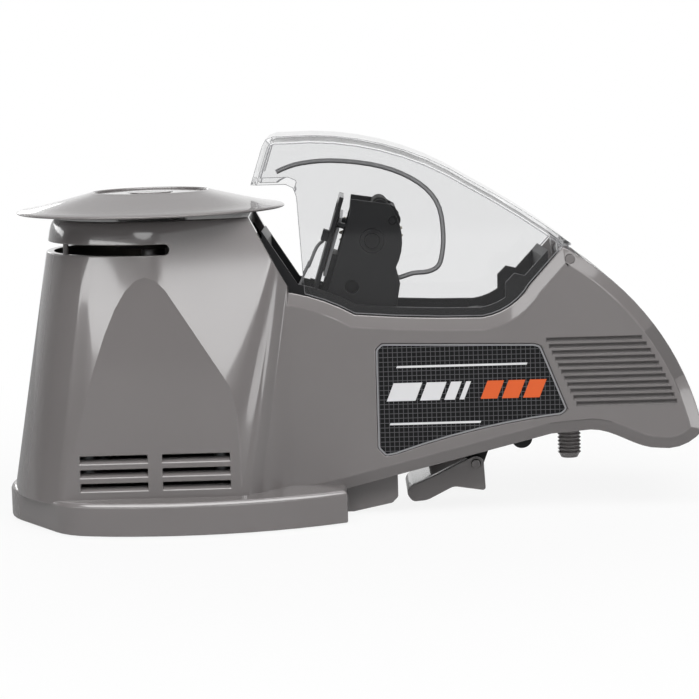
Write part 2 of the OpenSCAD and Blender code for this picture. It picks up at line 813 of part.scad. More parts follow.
module mount_posts() {
    color([0.75, 0.75, 0.77])
    for (p = post_at) both_sides()
    translate([p[0], p[1], floor_z])
    union() {
        cylinder(r = post_r, h = mount_z - mount_t - floor_z);
        cylinder(r = 1.6, h = mount_z + 2 - floor_z);
    }
}

module turntable_motor() {
    color([0.55, 0.55, 0.58])
    translate([drive_x, 0, mount_z - mount_t])
    difference() {
        union() {
            translate([0, 0, -30]) cylinder(r = motor_r, h = 30);
            cylinder(r = 3.7, h = 2.5);
        }
        translate([0, 0, -10]) cylinder(r = 1.5 + run_gap, h = 14);
    }
}

// Electrical pieces in the pot and the waist.
module main_board() {
    x0 = board_at[0];
    long = board_at[1] - board_at[0];
    color([0.1, 0.35, 0.2])
    union() {
        translate([x0, -board_y, board_z]) cube([long, 2 * board_y, 1.6]);
        translate([x0 + 6, -board_y + 3, board_z + 1]) cube([10, 8, 9]);
        translate([x0 + 18, -4, board_z + 1]) cube([9, 9, 3]);
        for (i = [0 : 2])
        translate([x0 + 10 + 8 * i, board_y - 8, board_z + 1]) cylinder(r = 3, h = 9);
    }
}

module switch_frame() {
    color([0.05, 0.05, 0.05])
    on_back(switch_at)
    difference() {
        union() {
            translate([-switch_x - 1.2, 0, -switch_tall - 1.2])
            cube([2 * switch_x + 2.4, 1.4, 2 * switch_tall + 2.4]);
            translate([-switch_x, -12, -switch_tall]) cube([2 * switch_x, 12.1, 2 * switch_tall]);
        }
        translate([-switch_x + 1.4, -7, -switch_tall + 1.2])
        cube([2 * switch_x - 2.8, 12, 2 * switch_tall - 2.4]);
        translate([-switch_x + 0.4, -2.5, 0])
        rotate([0, 90, 0])
        cylinder(r = 1 + run_gap, h = 2 * switch_x - 0.8, $fn = 32);
    }
}

// The rocker lies tilted in its frame: the upper half is pressed in at rest.
rocker_tilt = 8;
module power_rocker() {
    half = switch_tall - 1.9;
    color([0.12, 0.12, 0.12])
    on_back(switch_at)
    translate([0, -2.5, 0])
    rotate([rocker_tilt, 0, 0])
    union() {
        translate([1.8 - switch_x, 0, 0])
        rotate([90, 0, 90])
        linear_extrude(height = 2 * switch_x - 3.6)
        polygon([[-2, -3], [2.6, -half], [3.6, -half], [2.6, 0], [3.6, half], [2.6, half], [-2, 3]]);
        translate([0.8 - switch_x, 0, 0])
        rotate([0, 90, 0])
        cylinder(r = 1, h = 2 * switch_x - 1.6, $fn = 32);
    }
}

module power_inlet() {
    color([0.04, 0.04, 0.04])
    on_back(inlet_at)
    difference() {
        union() {
            rotate([-90, 0, 0]) cylinder(r = inlet_r + 1.5, h = 1.5);
            translate([0, -4, 0]) rotate([-90, 0, 0]) cylinder(r = inlet_r, h = 4.1);
            translate([-inlet_r - 0.5, -12, -inlet_r]) cube([2 * inlet_r + 1, 8.1, 2 * inlet_r]);
        }
        translate([0, -9, 0])
        difference() {
            rotate([-90, 0, 0]) cylinder(r = 3.2, h = 12);
            translate([0, -1, 0]) rotate([-90, 0, 0]) cylinder(r = 1, h = 9, $fn = 32);
        }
    }
}

// The control panel, set into the crown of the nose.
row_a = [22.5, 29];
column_y = 7.5;
window_a = [33.6, 38.2];
window_y = 11;
board_a = (panel_a0 + panel_a1) / 2;
board_r = crown_r - 11;
flange_r = crown_r - wall - 0.1;
button_seat = flange_r - 3;

module panel_plate() {
    color([0.08, 0.08, 0.08])
    difference() {
        union() {
            crown_ring(flange_r - tiny, crown_r - panel_in, panel_a0 + 0.15, panel_a1 - 0.15, panel_y);
            crown_ring(flange_r - 1.5, flange_r, panel_a0 - 1.2, panel_a1 + 1.2, panel_y + 2);
            from_angle(board_a)
            for (t = [-13, 13]) both_sides()
            translate([board_r, panel_y - 2, t])
            rotate([0, 90, 0])
            cylinder(r = 2, h = flange_r - board_r - 1.2);
        }
        for (a = row_a) from_angle(a) both_sides()
        translate([crown_r - 8, column_y, 0]) rotate([0, 90, 0]) cylinder(r = button_r + 0.2, h = 12);
        crown_ring(crown_r - 8, crown_r + 1, window_a[0] - 0.05, window_a[1] + 0.05, window_y + 0.1);
    }
}

module display_window() {
    color([0.25, 0.02, 0.02])
    crown_ring(flange_r - 3, crown_r - panel_in - 0.1, window_a[0], window_a[1], window_y);
}

module panel_board() {
    color([0.1, 0.35, 0.2])
    union() {
        from_angle(board_a)
        translate([board_r - 1.6, -panel_y - 1, -17])
        cube([1.6, 2 * panel_y + 2, 34]);
        for (a = row_a) from_angle(a) both_sides()
        translate([board_r - 1.2, column_y, 0])
        rotate([0, 90, 0])
        cylinder(r = 2, h = button_seat - button_travel - 0.3 - board_r + 1.2);
    }
}

module button(row, side) {
    color([0.35, 0.34, 0.34])
    from_angle(row_a[row])
    translate([button_seat, side * column_y, 0])
    rotate([0, 90, 0])
    union() {
        cylinder(r = button_r + 0.8, h = 1);
        cylinder(r = button_r, h = crown_r - 0.4 - button_seat);
    }
}

module button_feed() { button(1, -1); }
module button_cut() { button(1, 1); }
module button_less() { button(0, -1); }
module button_more() { button(0, 1); }

// The black tray in the opening, with the cradles for the reel's axle.
tray_y = nose_in_y - hood_t + 0.5;
tray_x0 = lip[0] + 4;
tray_x1 = leg_x - leg_boss_r - 1;
tray_floor_z = tray_z + tray_t;
reel_at = [pot_x + 109.5, tray_floor_z + reel_r + 6.5];
tray_top = [for (p = beside(edge_path, tray_proud)) if (p[0] > tray_x0 && p[0] < tray_x1) p];
tray_outline = concat(
    [[tray_x0, tray_z], [tray_x1, tray_z], [tray_x1, hinge_z + 3]],
    reversed(tray_top),
    [[tray_x0, lip[1] - 5]]);
tray_in_y = tray_y - tray_t;
module inner_tray() {
    color([0.06, 0.06, 0.06])
    difference() {
        union() {
            difference() {
                y_prism(tray_y) polygon(tray_outline);
                y_prism(tray_in_y)
                polygon([
                    [tray_x0 + tray_t, tray_floor_z], [tray_x1 - tray_t, tray_floor_z],
                    [tray_x1 - tray_t, 2 * hinge_z], [tray_x0 + tray_t, 2 * hinge_z]
                ]);
            }
            both_sides()
            y_slab(tray_in_y - 2.5, tray_in_y + 0.5)
            polygon([
                [reel_at[0] - 8, tray_floor_z - 0.5], [reel_at[0] + 8, tray_floor_z - 0.5],
                [reel_at[0] + 6, reel_at[1] + 5], [reel_at[0] - 6, reel_at[1] + 5]
            ]);
            both_sides()
            y_slab(tray_in_y, tray_y)
            polygon(moved([[0, -3], [7, 0], [7, 6], [3, 7], [0, 4]], shoulder_foot + [8, 7]));
        }
        both_sides() {
            y_bar(reel_at, axle_r, tray_in_y - 3, tray_in_y);
            y_slab(tray_in_y - 3, tray_in_y)
            polygon([
                reel_at + [-axle_r, 0], reel_at + [axle_r, 0],
                reel_at + [axle_r, 9], reel_at + [-axle_r, 9]
            ]);
        }
        translate([tray_x0 - 1, lead_y, lead_z])
        rotate([0, 90, 0])
        cylinder(r = 1, h = tray_t + 2, $fn = 32);
    }
}

module reel_axle() {
    color([0.75, 0.75, 0.77])
    y_bar(reel_at, axle_r, -tray_in_y + tiny, tray_in_y - tiny);
}

module tape_reel() {
    half = cheek_in_y;
    color([0.85, 0.84, 0.8])
    difference() {
        y_bar(reel_at, reel_r, -half, half);
        both_sides() difference() {
            y_bar(reel_at, reel_r - 1.8, 2, half + 1);
            y_bar(reel_at, axle_r + 2.5, 1, half + 2);
        }
        y_bar(reel_at, axle_r + run_gap, -half - 1, half + 1);
    }
}

// The feed unit: two cheeks with the rollers, motors and cutter between them.
feed_at = [pot_x + pot_to_feed, feed_z];
cheek_in_y = tray_in_y - cheek_room;
cheek_out_y = cheek_in_y + cheek_t;
dee_c = feed_at + [-9.5, 0];
dee_r = 19.5;
cut_at = feed_at + [-20, -21];
cut_u = [cos(cut_angle), sin(cut_angle)];
cut_n = [-sin(cut_angle), cos(cut_angle)];
function cut_point(s, t) = cut_at + s * cut_u + t * cut_n;
cheek_edge_t = -3.2;
cheek_outline = concat(
    [[cut_point(0, cheek_edge_t)[0] + 1, tray_floor_z], [feed_at[0] + 7.5, tray_floor_z]],
    [feed_at + [7.7, -22], feed_at + [9, -14.5]],
    [for (i = [0 : 8]) let (a = -28 + 66 * i / 8) dee_c + dee_r * [cos(a), sin(a)]],
    [feed_at + [-6.6, 14], cut_point(33, cheek_edge_t), cut_point(0, cheek_edge_t)]);
pinch_a = 76;
pinch_at = feed_at + (feed_r + pinch_r + tape_gap) * [cos(pinch_a), sin(pinch_a)];
pinch_pivot = feed_at + [7, 6.5];
pinch_pin_r = 1.2;
feed_motor_a = 25;
feed_motor_at = feed_at
    - (gear_r(feed_teeth) + gear_r(feed_pinion_teeth)) * [sin(feed_motor_a), cos(feed_motor_a)];
presser_at = feed_at + [4.5, -13];
bush_r = feed_shaft_r + 1.5;

module cutter_frame() {
    translate([cut_at[0], 0, cut_at[1]])
    rotate([0, -cut_angle, 0])
    children();
}

module cheek(y0, y1) {
    difference() {
        y_slab(y0, y1) polygon(cheek_outline);
        y_bar(feed_at, bush_r, y0 - 1, y1 + 1);
        y_bar(pinch_pivot, pinch_pin_r, y0 - 1, y1 + 1);
        y_bar(feed_motor_at, 2.2, y0 - 1, y1 + 1);
    }
}

module feed_cheek_near() {
    color([0.05, 0.05, 0.05]) cheek(-cheek_out_y, -cheek_in_y);
}

module feed_cheek_far() {
    color([0.05, 0.05, 0.05]) cheek(cheek_in_y, cheek_out_y);
}

module feed_bushes() {
    color([0.8, 0.66, 0.32])
    both_sides()
    difference() {
        y_bar(feed_at, bush_r, cheek_in_y, cheek_out_y);
        y_bar(feed_at, feed_shaft_r + run_gap, cheek_in_y - 1, cheek_out_y + 1);
    }
}

gear_y = cheek_out_y + 0.6;
feed_gear_t = 2.6;
roller_y = cheek_in_y - 3;
module feed_shaft() {
    color([0.75, 0.75, 0.77])
    y_bar(feed_at, feed_shaft_r, -cheek_out_y - 0.6, gear_y + feed_gear_t);
}

module feed_roller() {
    color([0.1, 0.1, 0.1])
    difference() {
        y_bar(feed_at, feed_r, -roller_y, roller_y);
        y_bar(feed_at, feed_shaft_r, -roller_y - 1, roller_y + 1);
    }
}

module on_gear_plane(at) {
    translate([at[0], gear_y + feed_gear_t, at[1]])
    rotate([90, 0, 0])
    linear_extrude(height = feed_gear_t)
    children();
}

mesh_a = 270 - feed_motor_a;
module feed_gear() {
    color([0.9, 0.88, 0.8])
    difference() {
        on_gear_plane(feed_at) rotate(mesh_a) gear_outline(feed_teeth, false);
        y_bar(feed_at, feed_shaft_r, gear_y - 1, gear_y + feed_gear_t + 1);
    }
}

module feed_pinion() {
    color([0.8, 0.66, 0.32])
    union() {
        on_gear_plane(feed_motor_at) rotate(mesh_a + 180) gear_outline(feed_pinion_teeth, true);
        y_bar(feed_motor_at, 1.2, cheek_in_y - 6, gear_y + tiny);
    }
}

module feed_motor() {
    color([0.6, 0.6, 0.62])
    difference() {
        union() {
            y_bar(feed_motor_at, 6, -roller_y, cheek_in_y);
            y_bar(feed_motor_at, 2.2, cheek_in_y - tiny, cheek_out_y - 0.5);
        }
        y_bar(feed_motor_at, 1.2 + run_gap, cheek_in_y - 6, cheek_out_y + 1);
    }
}

module pinch_pins() {
    color([0.75, 0.75, 0.77])
    both_sides()
    y_bar(pinch_pivot, pinch_pin_r, roller_y + 0.4, cheek_out_y + 0.4);
}

pinch_y = [roller_y + 0.5, cheek_in_y - 0.7];
pinch_tie = feed_at + [7.1, 10];
module pinch_arm() {
    color([0.12, 0.12, 0.12])
    difference() {
        union() {
            both_sides() {
                y_bar(pinch_pivot, pinch_pin_r + 1.5, pinch_y[0], pinch_y[1]);
                y_bar(pinch_at, 2.2, pinch_y[0], pinch_y[1]);
                y_slab(pinch_y[0], pinch_y[1])
                polygon([
                    pinch_pivot + [-2, -1.5], pinch_pivot + [2.4, 0.6],
                    pinch_tie + [0.8, 0.8], pinch_at + [1.4, 1.6], pinch_at + [-1.5, -1.5]
                ]);
            }
            y_bar(pinch_tie, 1, -pinch_y[0] - tiny, pinch_y[0] + tiny);
        }
        y_bar(pinch_pivot, pinch_pin_r + run_gap, -cheek_in_y, cheek_in_y);
        y_bar(pinch_at, 1 + run_gap, -cheek_in_y, -pinch_y[0] + 0.01);
        y_bar(pinch_at, 1 + run_gap, pinch_y[0] - 0.01, cheek_in_y);
    }
}

module pinch_roller() {
    color([0.14, 0.14, 0.14])
    union() {
        y_bar(pinch_at, pinch_r, -roller_y, roller_y);
        y_bar(pinch_at, 1, -pinch_y[1], pinch_y[1]);
    }
}

// The cutter: a fixed bar above the tape and a blade that comes up past it.
plate_t = 1.5;
plate_s = 31;
tape_s = 33.6;
blade_t = 1;
blade_y = cheek_in_y - 1.5;
module front_plate() {
    color([0.08, 0.08, 0.08])
    cutter_frame()
    union() {
        translate([0, -cheek_out_y, 0]) cube([plate_s, 2 * cheek_out_y, plate_t]);
        both_sides() {
            translate([plate_s - 1, blade_y + 1, 0])
            cube([7, cheek_out_y - blade_y - 1, plate_t]);
            for (s = [4, 28])
            translate([s, cheek_out_y - 1, cheek_edge_t])
            cylinder(r = 0.9, h = plate_t - cheek_edge_t, $fn = 24);
        }
    }
}

module fixed_blade() {
    color([0.75, 0.75, 0.77])
    cutter_frame()
    translate([tape_s + 1, -blade_y - 0.9, 0])
    cube([2.4, 2 * blade_y + 1.8, plate_t]);
}

module moving_blade() {
    color([0.75, 0.75, 0.77])
    cutter_frame()
    translate([0, 0, -0.4 - blade_t])
    linear_extrude(height = blade_t)
    polygon([
        [10, -blade_y], [tape_s - 3.4, -blade_y], [tape_s - 2, blade_y], [10, blade_y]
    ]);
}

plunger_t = -9.3;
plunger_r = 2.5;
carriage_s = -8;
module blade_carriage() {
    color([0.3, 0.3, 0.32])
    cutter_frame()
    union() {
        translate([carriage_s, -blade_y, -3.4]) cube([26, 2 * blade_y, 3 - blade_t]);
        translate([carriage_s, -4, plunger_t - 2.5]) cube([2, 8, -0.5 - plunger_t]);
        translate([carriage_s - 18, 0, plunger_t]) rotate([0, 90, 0]) cylinder(r = plunger_r, h = 19);
    }
}

module cutter_solenoid() {
    color([0.5, 0.35, 0.12])
    cutter_frame()
    difference() {
        translate([carriage_s - 24, seat_gap - cheek_in_y, plunger_t - 5.5])
        cube([20, 2 * (cheek_in_y - seat_gap), 11]);
        translate([carriage_s - 20, 0, plunger_t])
        rotate([0, 90, 0])
        cylinder(r = plunger_r + run_gap, h = 20);
    }
}

sensor_y = [-cheek_out_y + 1, -cheek_out_y + 7];
module tape_sensor() {
    color([0.04, 0.04, 0.04])
    cutter_frame()
    translate([21.5, sensor_y[0], plate_t])
    cube([3.6, sensor_y[1] - sensor_y[0], 2.2]);
}

// The sensor's lead, clipped into a hole in the tray's left wall.
lead_r = 0.55;
lead_y = (sensor_y[0] + sensor_y[1]) / 2;
lead_z = tray_floor_z + 30;
lead_start = cut_point(21.4, plate_t + 1.1);
lead_mid = [
    [lead_start[0] - 2.4, lead_start[1] - 2.2],
    [lead_start[0] - 5, lead_start[1] - 8],
    [lead_start[0] - 8, lead_start[1] - 14],
    [(lead_start[0] + tray_x0) / 2 - 2, lead_z + 3],
    [tray_x0 + 6, lead_z + 0.4]
];
module sensor_lead() {
    path = smooth(concat(
        [[lead_start[0], lead_y, lead_start[1]]],
        [for (p = lead_mid) [p[0], lead_y, p[1]]],
        [[tray_x0 - 0.5, lead_y, lead_z]]), 3);
    color([0.05, 0.05, 0.05]) tube(path, lead_r, 8);
}

// The steel wire that swings down and lays the strip on the disc.
hub_y = [-cheek_in_y + 0.5, -cheek_in_y + 3];
wire_y = (hub_y[0] + hub_y[1]) / 2;
wire_bends = [
    [3, 0, 0], [5, 0.3, 0], [9, 1.5, 0], [14, 1.9, 0], [17.4, 3.7, 0], [18.8, 7.8, 0], [19.3, 14.2, 0],
    [18.2, 23, 0], [14, 29.5, 1], [6, 34.7, 2.4], [-4.5, 38, 4.5], [-17.5, 39.4, 7],
    [-27.5, 38.7, 9], [-33, 37.2, 10], [-36, 35.9, 10.3]
];
module presser_wire() {
    path = smooth(concat(
        [[presser_at[0] + 1, wire_y, presser_at[1]]],
        [for (b = wire_bends)
            [presser_at[0] + b[0], wire_y + b[2], presser_at[1] + b[1]]]), 3);
    color([0.75, 0.75, 0.77]) tube(path, wire_r, 8);
}

module presser_hub() {
    color([0.1, 0.1, 0.1])
    difference() {
        union() {
            y_bar(presser_at, 3, hub_y[0], hub_y[1]);
            y_bar(presser_at, 1, hub_y[1] - tiny, hub_y[1] + 5);
        }
        translate([presser_at[0] + 1, wire_y, presser_at[1]])
        rotate([0, 90, 0])
        cylinder(r = wire_r + run_gap, h = 4, $fn = 32);
    }
}

module presser_motor() {
    color([0.55, 0.55, 0.58])
    difference() {
        y_bar(presser_at, 4, hub_y[1] + 0.4, cheek_in_y);
        y_bar(presser_at, 1 + run_gap, hub_y[1], hub_y[1] + 6);
    }
}

cheek_screw_at = [feed_at + [5, -30], feed_at + [-8, -34]];
module cheek_screws() {
    color([0.7, 0.7, 0.72])
    for (p = cheek_screw_at) both_sides()
    y_bar(p, 2.4, cheek_out_y, cheek_out_y + 1.4);
}

// The clear hood and its pin.
hood_y = nose_in_y + 1;
front_x0 = pot_x + 34.5;
hood_knee = [hinge_x - 32, hinge_z + 26.6];
hood_end = [hinge_x + 0.8, hinge_z + 5];
hood_curve = concat(
    [[front_x0 + 4.2, hood_top_z - 3], [front_x0 + 5.4, hood_top_z - 0.9], [front_x0 + 8, hood_top_z]],
    arc([front_x0 + 12, hood_top_z], hood_knee, 5, 8),
    rest(arc(hood_knee, hood_end, 0.7, 4)));
hood_outline = reversed(concat(
    [[hood_end[0], rim_z - 6], [pot_x + 52, rim_z - 6]],
    [[pot_x + 49.4, beak_z - 4], [pot_x + 48.4, beak_z - 1.2], [pot_x + 46, beak_z]],
    [[front_x0, beak_z]],
    hood_curve));
hood_inside = beside(concat([[front_x0, beak_z]], hood_curve), -hood_t);
under_hood = concat(
    [for (p = beside(edge_path, 0.4)) p],
    [[hinge_x + 9, peak[1] + 0.4], [hinge_x + 9, 0], [lip[0], 0]]);
knuckle_y = [9, 15];
knuckle_r = 3.2;
module hood() {
    color([0.85, 0.88, 0.9, 0.35])
    difference() {
        union() {
            difference() {
                bevelled_slab(hood_outline, hood_y, 2.4, 1.5);
                y_prism(hood_y - hood_t)
                polygon(concat(
                    [[hood_inside[0][0], rim_z - 20]],
                    hood_inside,
                    [[hood_inside[len(hood_inside) - 1][0], rim_z - 20]]));
                y_prism(2 * hood_y) polygon(under_hood);
            }
            both_sides() {
                y_bar([hinge_x, hinge_z], knuckle_r, knuckle_y[0], knuckle_y[1]);
                y_slab(knuckle_y[0], knuckle_y[1])
                polygon([
                    [hinge_x - knuckle_r, hinge_z], [hinge_x + 0.6, hinge_z],
                    [hinge_x + 0.6, hood_end[1] - 0.6], [hinge_x - knuckle_r, hood_end[1] + 1]
                ]);
            }
        }
        y_bar([hinge_x, hinge_z], hood_pin_r + run_gap, -hood_y, hood_y);
    }
}

module hood_pin() {
    color([0.75, 0.75, 0.77])
    y_bar([hinge_x, hinge_z], hood_pin_r, 0.2 - nose_y, nose_y - 0.2);
}

// Under the nose: the floor, the lock lever and the adjusting leg.
lever_at = [pot_x + 107, belly_z(pot_x + 107) - 5.4];
lug_y = [6, 8];
floor_x0 = base_right_x + 2;
module nose_floor() {
    half = nose_in_y - seat_gap;
    color([0.06, 0.06, 0.06])
    difference() {
        union() {
            y_prism(half)
            polygon([
                [floor_x0, belly_z(floor_x0) + 0.2],
                [floor_end_x - seat_gap, belly_z(floor_end_x) + 0.2],
                [floor_end_x - seat_gap, belly_z(floor_end_x) + 2.2],
                [floor_x0, belly_z(floor_x0) + 2.2]
            ]);
            both_sides() {
                y_slab(lug_y[0], lug_y[1])
                polygon([
                    lever_at + [-4, 7], lever_at + [-2.6, -1.5], lever_at + [0, -3],
                    lever_at + [2.6, -1.5], lever_at + [6, 7.6]
                ]);
                y_bar([lever_at[0] + 15.5, belly_z(lever_at[0] + 15.5) - 0.4], 3.6, 4, 14);
            }
        }
        y_bar(lever_at, lever_pin_r, -half, half);
    }
}

module lever_pin() {
    color([0.75, 0.75, 0.77])
    y_bar(lever_at, lever_pin_r, -13.4, 13.4);
}

lever_y = [9, 12.6];
lever_tip = [base_right_x + 19.9, lever_at[1] - 12.4];
module release_lever() {
    tail = [
        lever_tip + [2, 0], lever_tip + [7, 0.4], lever_tip + [16, 4.9], lever_at + [3.2, -9.2],
        lever_at + [2.6, 1.8], lever_at + [0, 2.9], lever_at + [-6, 0.2], lever_at + [-12.4, -3],
        lever_tip + [5.6, 7], lever_tip + [1.2, 5.6], lever_tip + [0, 3]
    ];
    tongue = [
        lever_tip + [2, 0], lever_tip + [7, 0.4], lever_tip + [10, 2], lever_tip + [8.6, 8.4],
        lever_tip + [5.6, 7], lever_tip + [1.2, 5.6], lever_tip + [0, 3]
    ];
    color([0.44, 0.42, 0.42])
    difference() {
        union() {
            both_sides() y_slab(lever_y[0], lever_y[1]) polygon(tail);
            y_prism(lever_y[0] + tiny) polygon(tongue);
        }
        y_bar(lever_at, lever_pin_r + run_gap, -lever_y[1] - 1, lever_y[1] + 1);
    }
}

leg_end_z = crest_z - 13;
thread_pitch = 1.25;
module adjusting_leg() {
    threads = 22;
    start = leg_end_z + 1.2;
    color([0.45, 0.44, 0.44])
    translate([leg_x, 0, 0])
    rotate_extrude()
    polygon(concat(
        [[0, leg_end_z], [leg_r - 1.2, leg_end_z], [leg_r - 0.6, start]],
        [for (i = [0 : threads - 1])
            each [
                [leg_r, start + (i + 0.5) * thread_pitch],
                [leg_r - 0.6, start + (i + 1) * thread_pitch]
            ]],
        [[0, start + threads * thread_pitch]]));
}

main_housing();
base_tray();
base_feet();
base_screws();
base_weight();
labels();
turntable_disc();
centre_cap();
cap_screw();
spindle();
spindle_gear();
drive_pinion();
bearings();
motor_mount();
mount_posts();
turntable_motor();
main_board();
switch_frame();
power_rocker();
power_inlet();
panel_plate();
display_window();
panel_board();
button_feed();
button_cut();
button_less();
button_more();
inner_tray();
reel_axle();
tape_reel();
feed_cheek_near();
feed_cheek_far();
feed_bushes();
feed_shaft();
feed_roller();
feed_gear();
feed_pinion();
feed_motor();
pinch_pins();
pinch_arm();
pinch_roller();
front_plate();
fixed_blade();
moving_blade();
blade_carriage();
cutter_solenoid();
tape_sensor();
sensor_lead();
presser_wire();
presser_hub();
presser_motor();
cheek_screws();
hood();
hood_pin();
nose_floor();
lever_pin();
release_lever();
adjusting_leg();
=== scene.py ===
"""Looks of an electric tape dispenser with a turntable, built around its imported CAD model."""
import json
import math

import bmesh
import bpy
from mathutils import Matrix, Vector


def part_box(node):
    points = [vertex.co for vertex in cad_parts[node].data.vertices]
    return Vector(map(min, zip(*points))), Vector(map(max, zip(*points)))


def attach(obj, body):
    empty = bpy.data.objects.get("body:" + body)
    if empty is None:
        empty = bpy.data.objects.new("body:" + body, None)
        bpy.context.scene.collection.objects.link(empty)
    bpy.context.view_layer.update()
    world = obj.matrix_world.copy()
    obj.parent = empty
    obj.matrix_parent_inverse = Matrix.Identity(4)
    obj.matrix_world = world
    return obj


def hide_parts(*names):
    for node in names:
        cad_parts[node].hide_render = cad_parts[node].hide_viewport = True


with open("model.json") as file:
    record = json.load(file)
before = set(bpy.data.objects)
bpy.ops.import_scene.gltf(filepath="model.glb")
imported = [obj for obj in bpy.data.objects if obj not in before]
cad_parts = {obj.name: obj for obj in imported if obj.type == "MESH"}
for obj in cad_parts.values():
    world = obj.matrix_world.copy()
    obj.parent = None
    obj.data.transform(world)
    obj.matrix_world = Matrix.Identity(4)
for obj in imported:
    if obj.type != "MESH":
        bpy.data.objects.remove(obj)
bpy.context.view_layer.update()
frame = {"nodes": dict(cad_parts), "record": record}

# Base tray: the bottom cover of the pot, one grey ABS moulding with a sloped ledge all round.
# It is screwed up into the housing, and its edges are broken by the mould's radii.
mm = 0.001
grey = (0.158, 0.147, 0.146)
ledge_low, ledge_high = 8.3 * mm, 9.6 * mm
ledge_rise = 1.7 * mm
body_of = {
    node: body
    for body, nodes in frame["record"]["behaviour"]["bodies"].items()
    for node in nodes
}


def ranged(tree, source, span, result, soft=False):
    """Turns one span of values into another, with soft ends where asked."""
    between = tree.nodes.new("ShaderNodeMapRange")
    if soft:
        between.interpolation_type = "SMOOTHSTEP"
    for socket, value in zip(("From Min", "From Max", "To Min", "To Max"), (*span, *result)):
        between.inputs[socket].default_value = value
    tree.links.new(source, between.inputs["Value"])
    return between.outputs["Result"]


def worked(tree, operation, first, second):
    """Works out one value from two, of which the second may be a plain number."""
    step = tree.nodes.new("ShaderNodeMath")
    step.operation = operation
    tree.links.new(first, step.inputs[0])
    if isinstance(second, bpy.types.NodeSocket):
        tree.links.new(second, step.inputs[1])
    else:
        step.inputs[1].default_value = second
    return step.outputs["Value"]


def blended(tree, amount, first, second):
    """Mixes two colours, each of them plain or a pattern."""
    mix = tree.nodes.new("ShaderNodeMix")
    mix.data_type = "RGBA"
    tree.links.new(amount, mix.inputs["Factor"])
    for socket, value in ((mix.inputs["A"], first), (mix.inputs["B"], second)):
        if isinstance(value, bpy.types.NodeSocket):
            tree.links.new(value, socket)
        else:
            socket.default_value = (*value, 1)
    return mix.outputs["Result"]


def clouds(tree, size, detail):
    """A soft random pattern over a piece, with patches of about one size."""
    place = tree.nodes.new("ShaderNodeTexCoord")
    noise = tree.nodes.new("ShaderNodeTexNoise")
    noise.inputs["Scale"].default_value = 1 / size
    noise.inputs["Detail"].default_value = detail
    tree.links.new(place.outputs["Object"], noise.inputs["Vector"])
    return noise.outputs["Fac"]


def raised(tree, height, by, under=None):
    """A slight relief from a pattern, on top of another relief where there is one."""
    bump = tree.nodes.new("ShaderNodeBump")
    bump.inputs["Distance"].default_value = by
    tree.links.new(height, bump.inputs["Height"])
    if under:
        tree.links.new(under, bump.inputs["Normal"])
    return bump.outputs["Normal"]


def skin(name, colour, rough, grain, depth, wear_and_sheen=0.12, metal=0, shine=0.5):
    """A piece's finish: slow drift of shade, uneven gloss, sink waves, grain, and paler edges
    that are partly wear and partly a painted sheen.
    """
    finish = bpy.data.materials.new(name)
    finish.use_nodes = True
    tree = finish.node_tree
    shader = tree.nodes["Principled BSDF"]
    shader.inputs["Metallic"].default_value = metal
    shader.inputs["Specular IOR Level"].default_value = shine
    cloud_span = (0.15, 0.85)
    drift = blended(
        tree, ranged(tree, clouds(tree, 45 * mm, 2), cloud_span, (0, 1)),
        tuple(c * 0.96 for c in colour), tuple(min(1, c * 1.04) for c in colour),
    )
    # Bevel faces are painted paler in patches: partly edge wear, partly a painted sheen along
    # the edges.
    edge = tree.nodes.new("ShaderNodeAttribute")
    edge.attribute_name = "edge"
    patches = ranged(tree, clouds(tree, 6 * mm, 2), cloud_span, (0, 2 * wear_and_sheen))
    rubbed_and_sheen = worked(tree, "MULTIPLY", edge.outputs["Fac"], patches)
    pale = tuple(min(1, c * 1.5 + 0.05) for c in colour)
    tree.links.new(blended(tree, rubbed_and_sheen, drift, pale), shader.inputs["Base Color"])
    uneven = ranged(tree, clouds(tree, 18 * mm, 3), cloud_span, (rough - 0.03, rough + 0.03))
    tree.links.new(uneven, shader.inputs["Roughness"])
    sink_waves = raised(tree, clouds(tree, 16 * mm, 1), 0.02 * mm)
    relief = raised(tree, clouds(tree, grain, 2), depth, sink_waves)
    tree.links.new(relief, shader.inputs["Normal"])
    return finish


def dressed(piece, part, node, finish, smooth=35):
    """A finished mesh as a piece that stands for a CAD node and moves with its body."""
    for face in part.faces:
        face.smooth = True
    for edge in part.edges:
        if not edge.is_manifold or edge.calc_face_angle() > math.radians(smooth):
            edge.smooth = False
    mesh = bpy.data.meshes.new(piece)
    part.to_mesh(mesh)
    part.free()
    mesh.materials.append(finish)
    made = bpy.data.objects.new(piece, mesh)
    bpy.context.scene.collection.objects.link(made)
    even = made.modifiers.new("even_shading", "WEIGHTED_NORMAL")
    even.keep_sharp = True
    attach(made, body_of[node])
    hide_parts(node)
    return made


def merged(node):
    """A CAD node's mesh with its loose triangles joined and its flat faces made whole."""
    part = bmesh.new()
    part.from_mesh(frame["nodes"][node].data)
    bmesh.ops.remove_doubles(part, verts=part.verts, dist=0.002 * mm)
    bmesh.ops.dissolve_limit(
        part, angle_limit=math.radians(0.4), verts=part.verts, edges=part.edges
    )
    return part


def rounded(part, edges, radius, rows=2):
    """Rounds edges, and marks the new faces as edges for the finish."""
    edge_mark = part.faces.layers.float.get("edge") or part.faces.layers.float.new("edge")
    made = bmesh.ops.bevel(
        part, geom=edges, offset=radius, offset_type="OFFSET", segments=rows,
        profile=0.5, affect="EDGES", clamp_overlap=False, material=-1,
    )
    for face in made["faces"]:
        face[edge_mark] = 1
    return made["faces"]


def corners(part, bend):
    """The edges of a part that turn by more than an angle in degrees."""
    return [
        e for e in part.edges
        if e.is_manifold and e.calc_face_angle() > math.radians(bend)
    ]


def softened(piece, node, finish, radius, bend=30, smooth=35):
    """A CAD node with the small radii that its mould or tool leaves on its edges."""
    part = merged(node)
    rounded(part, corners(part, bend), radius)
    return dressed(piece, part, node, finish, smooth)


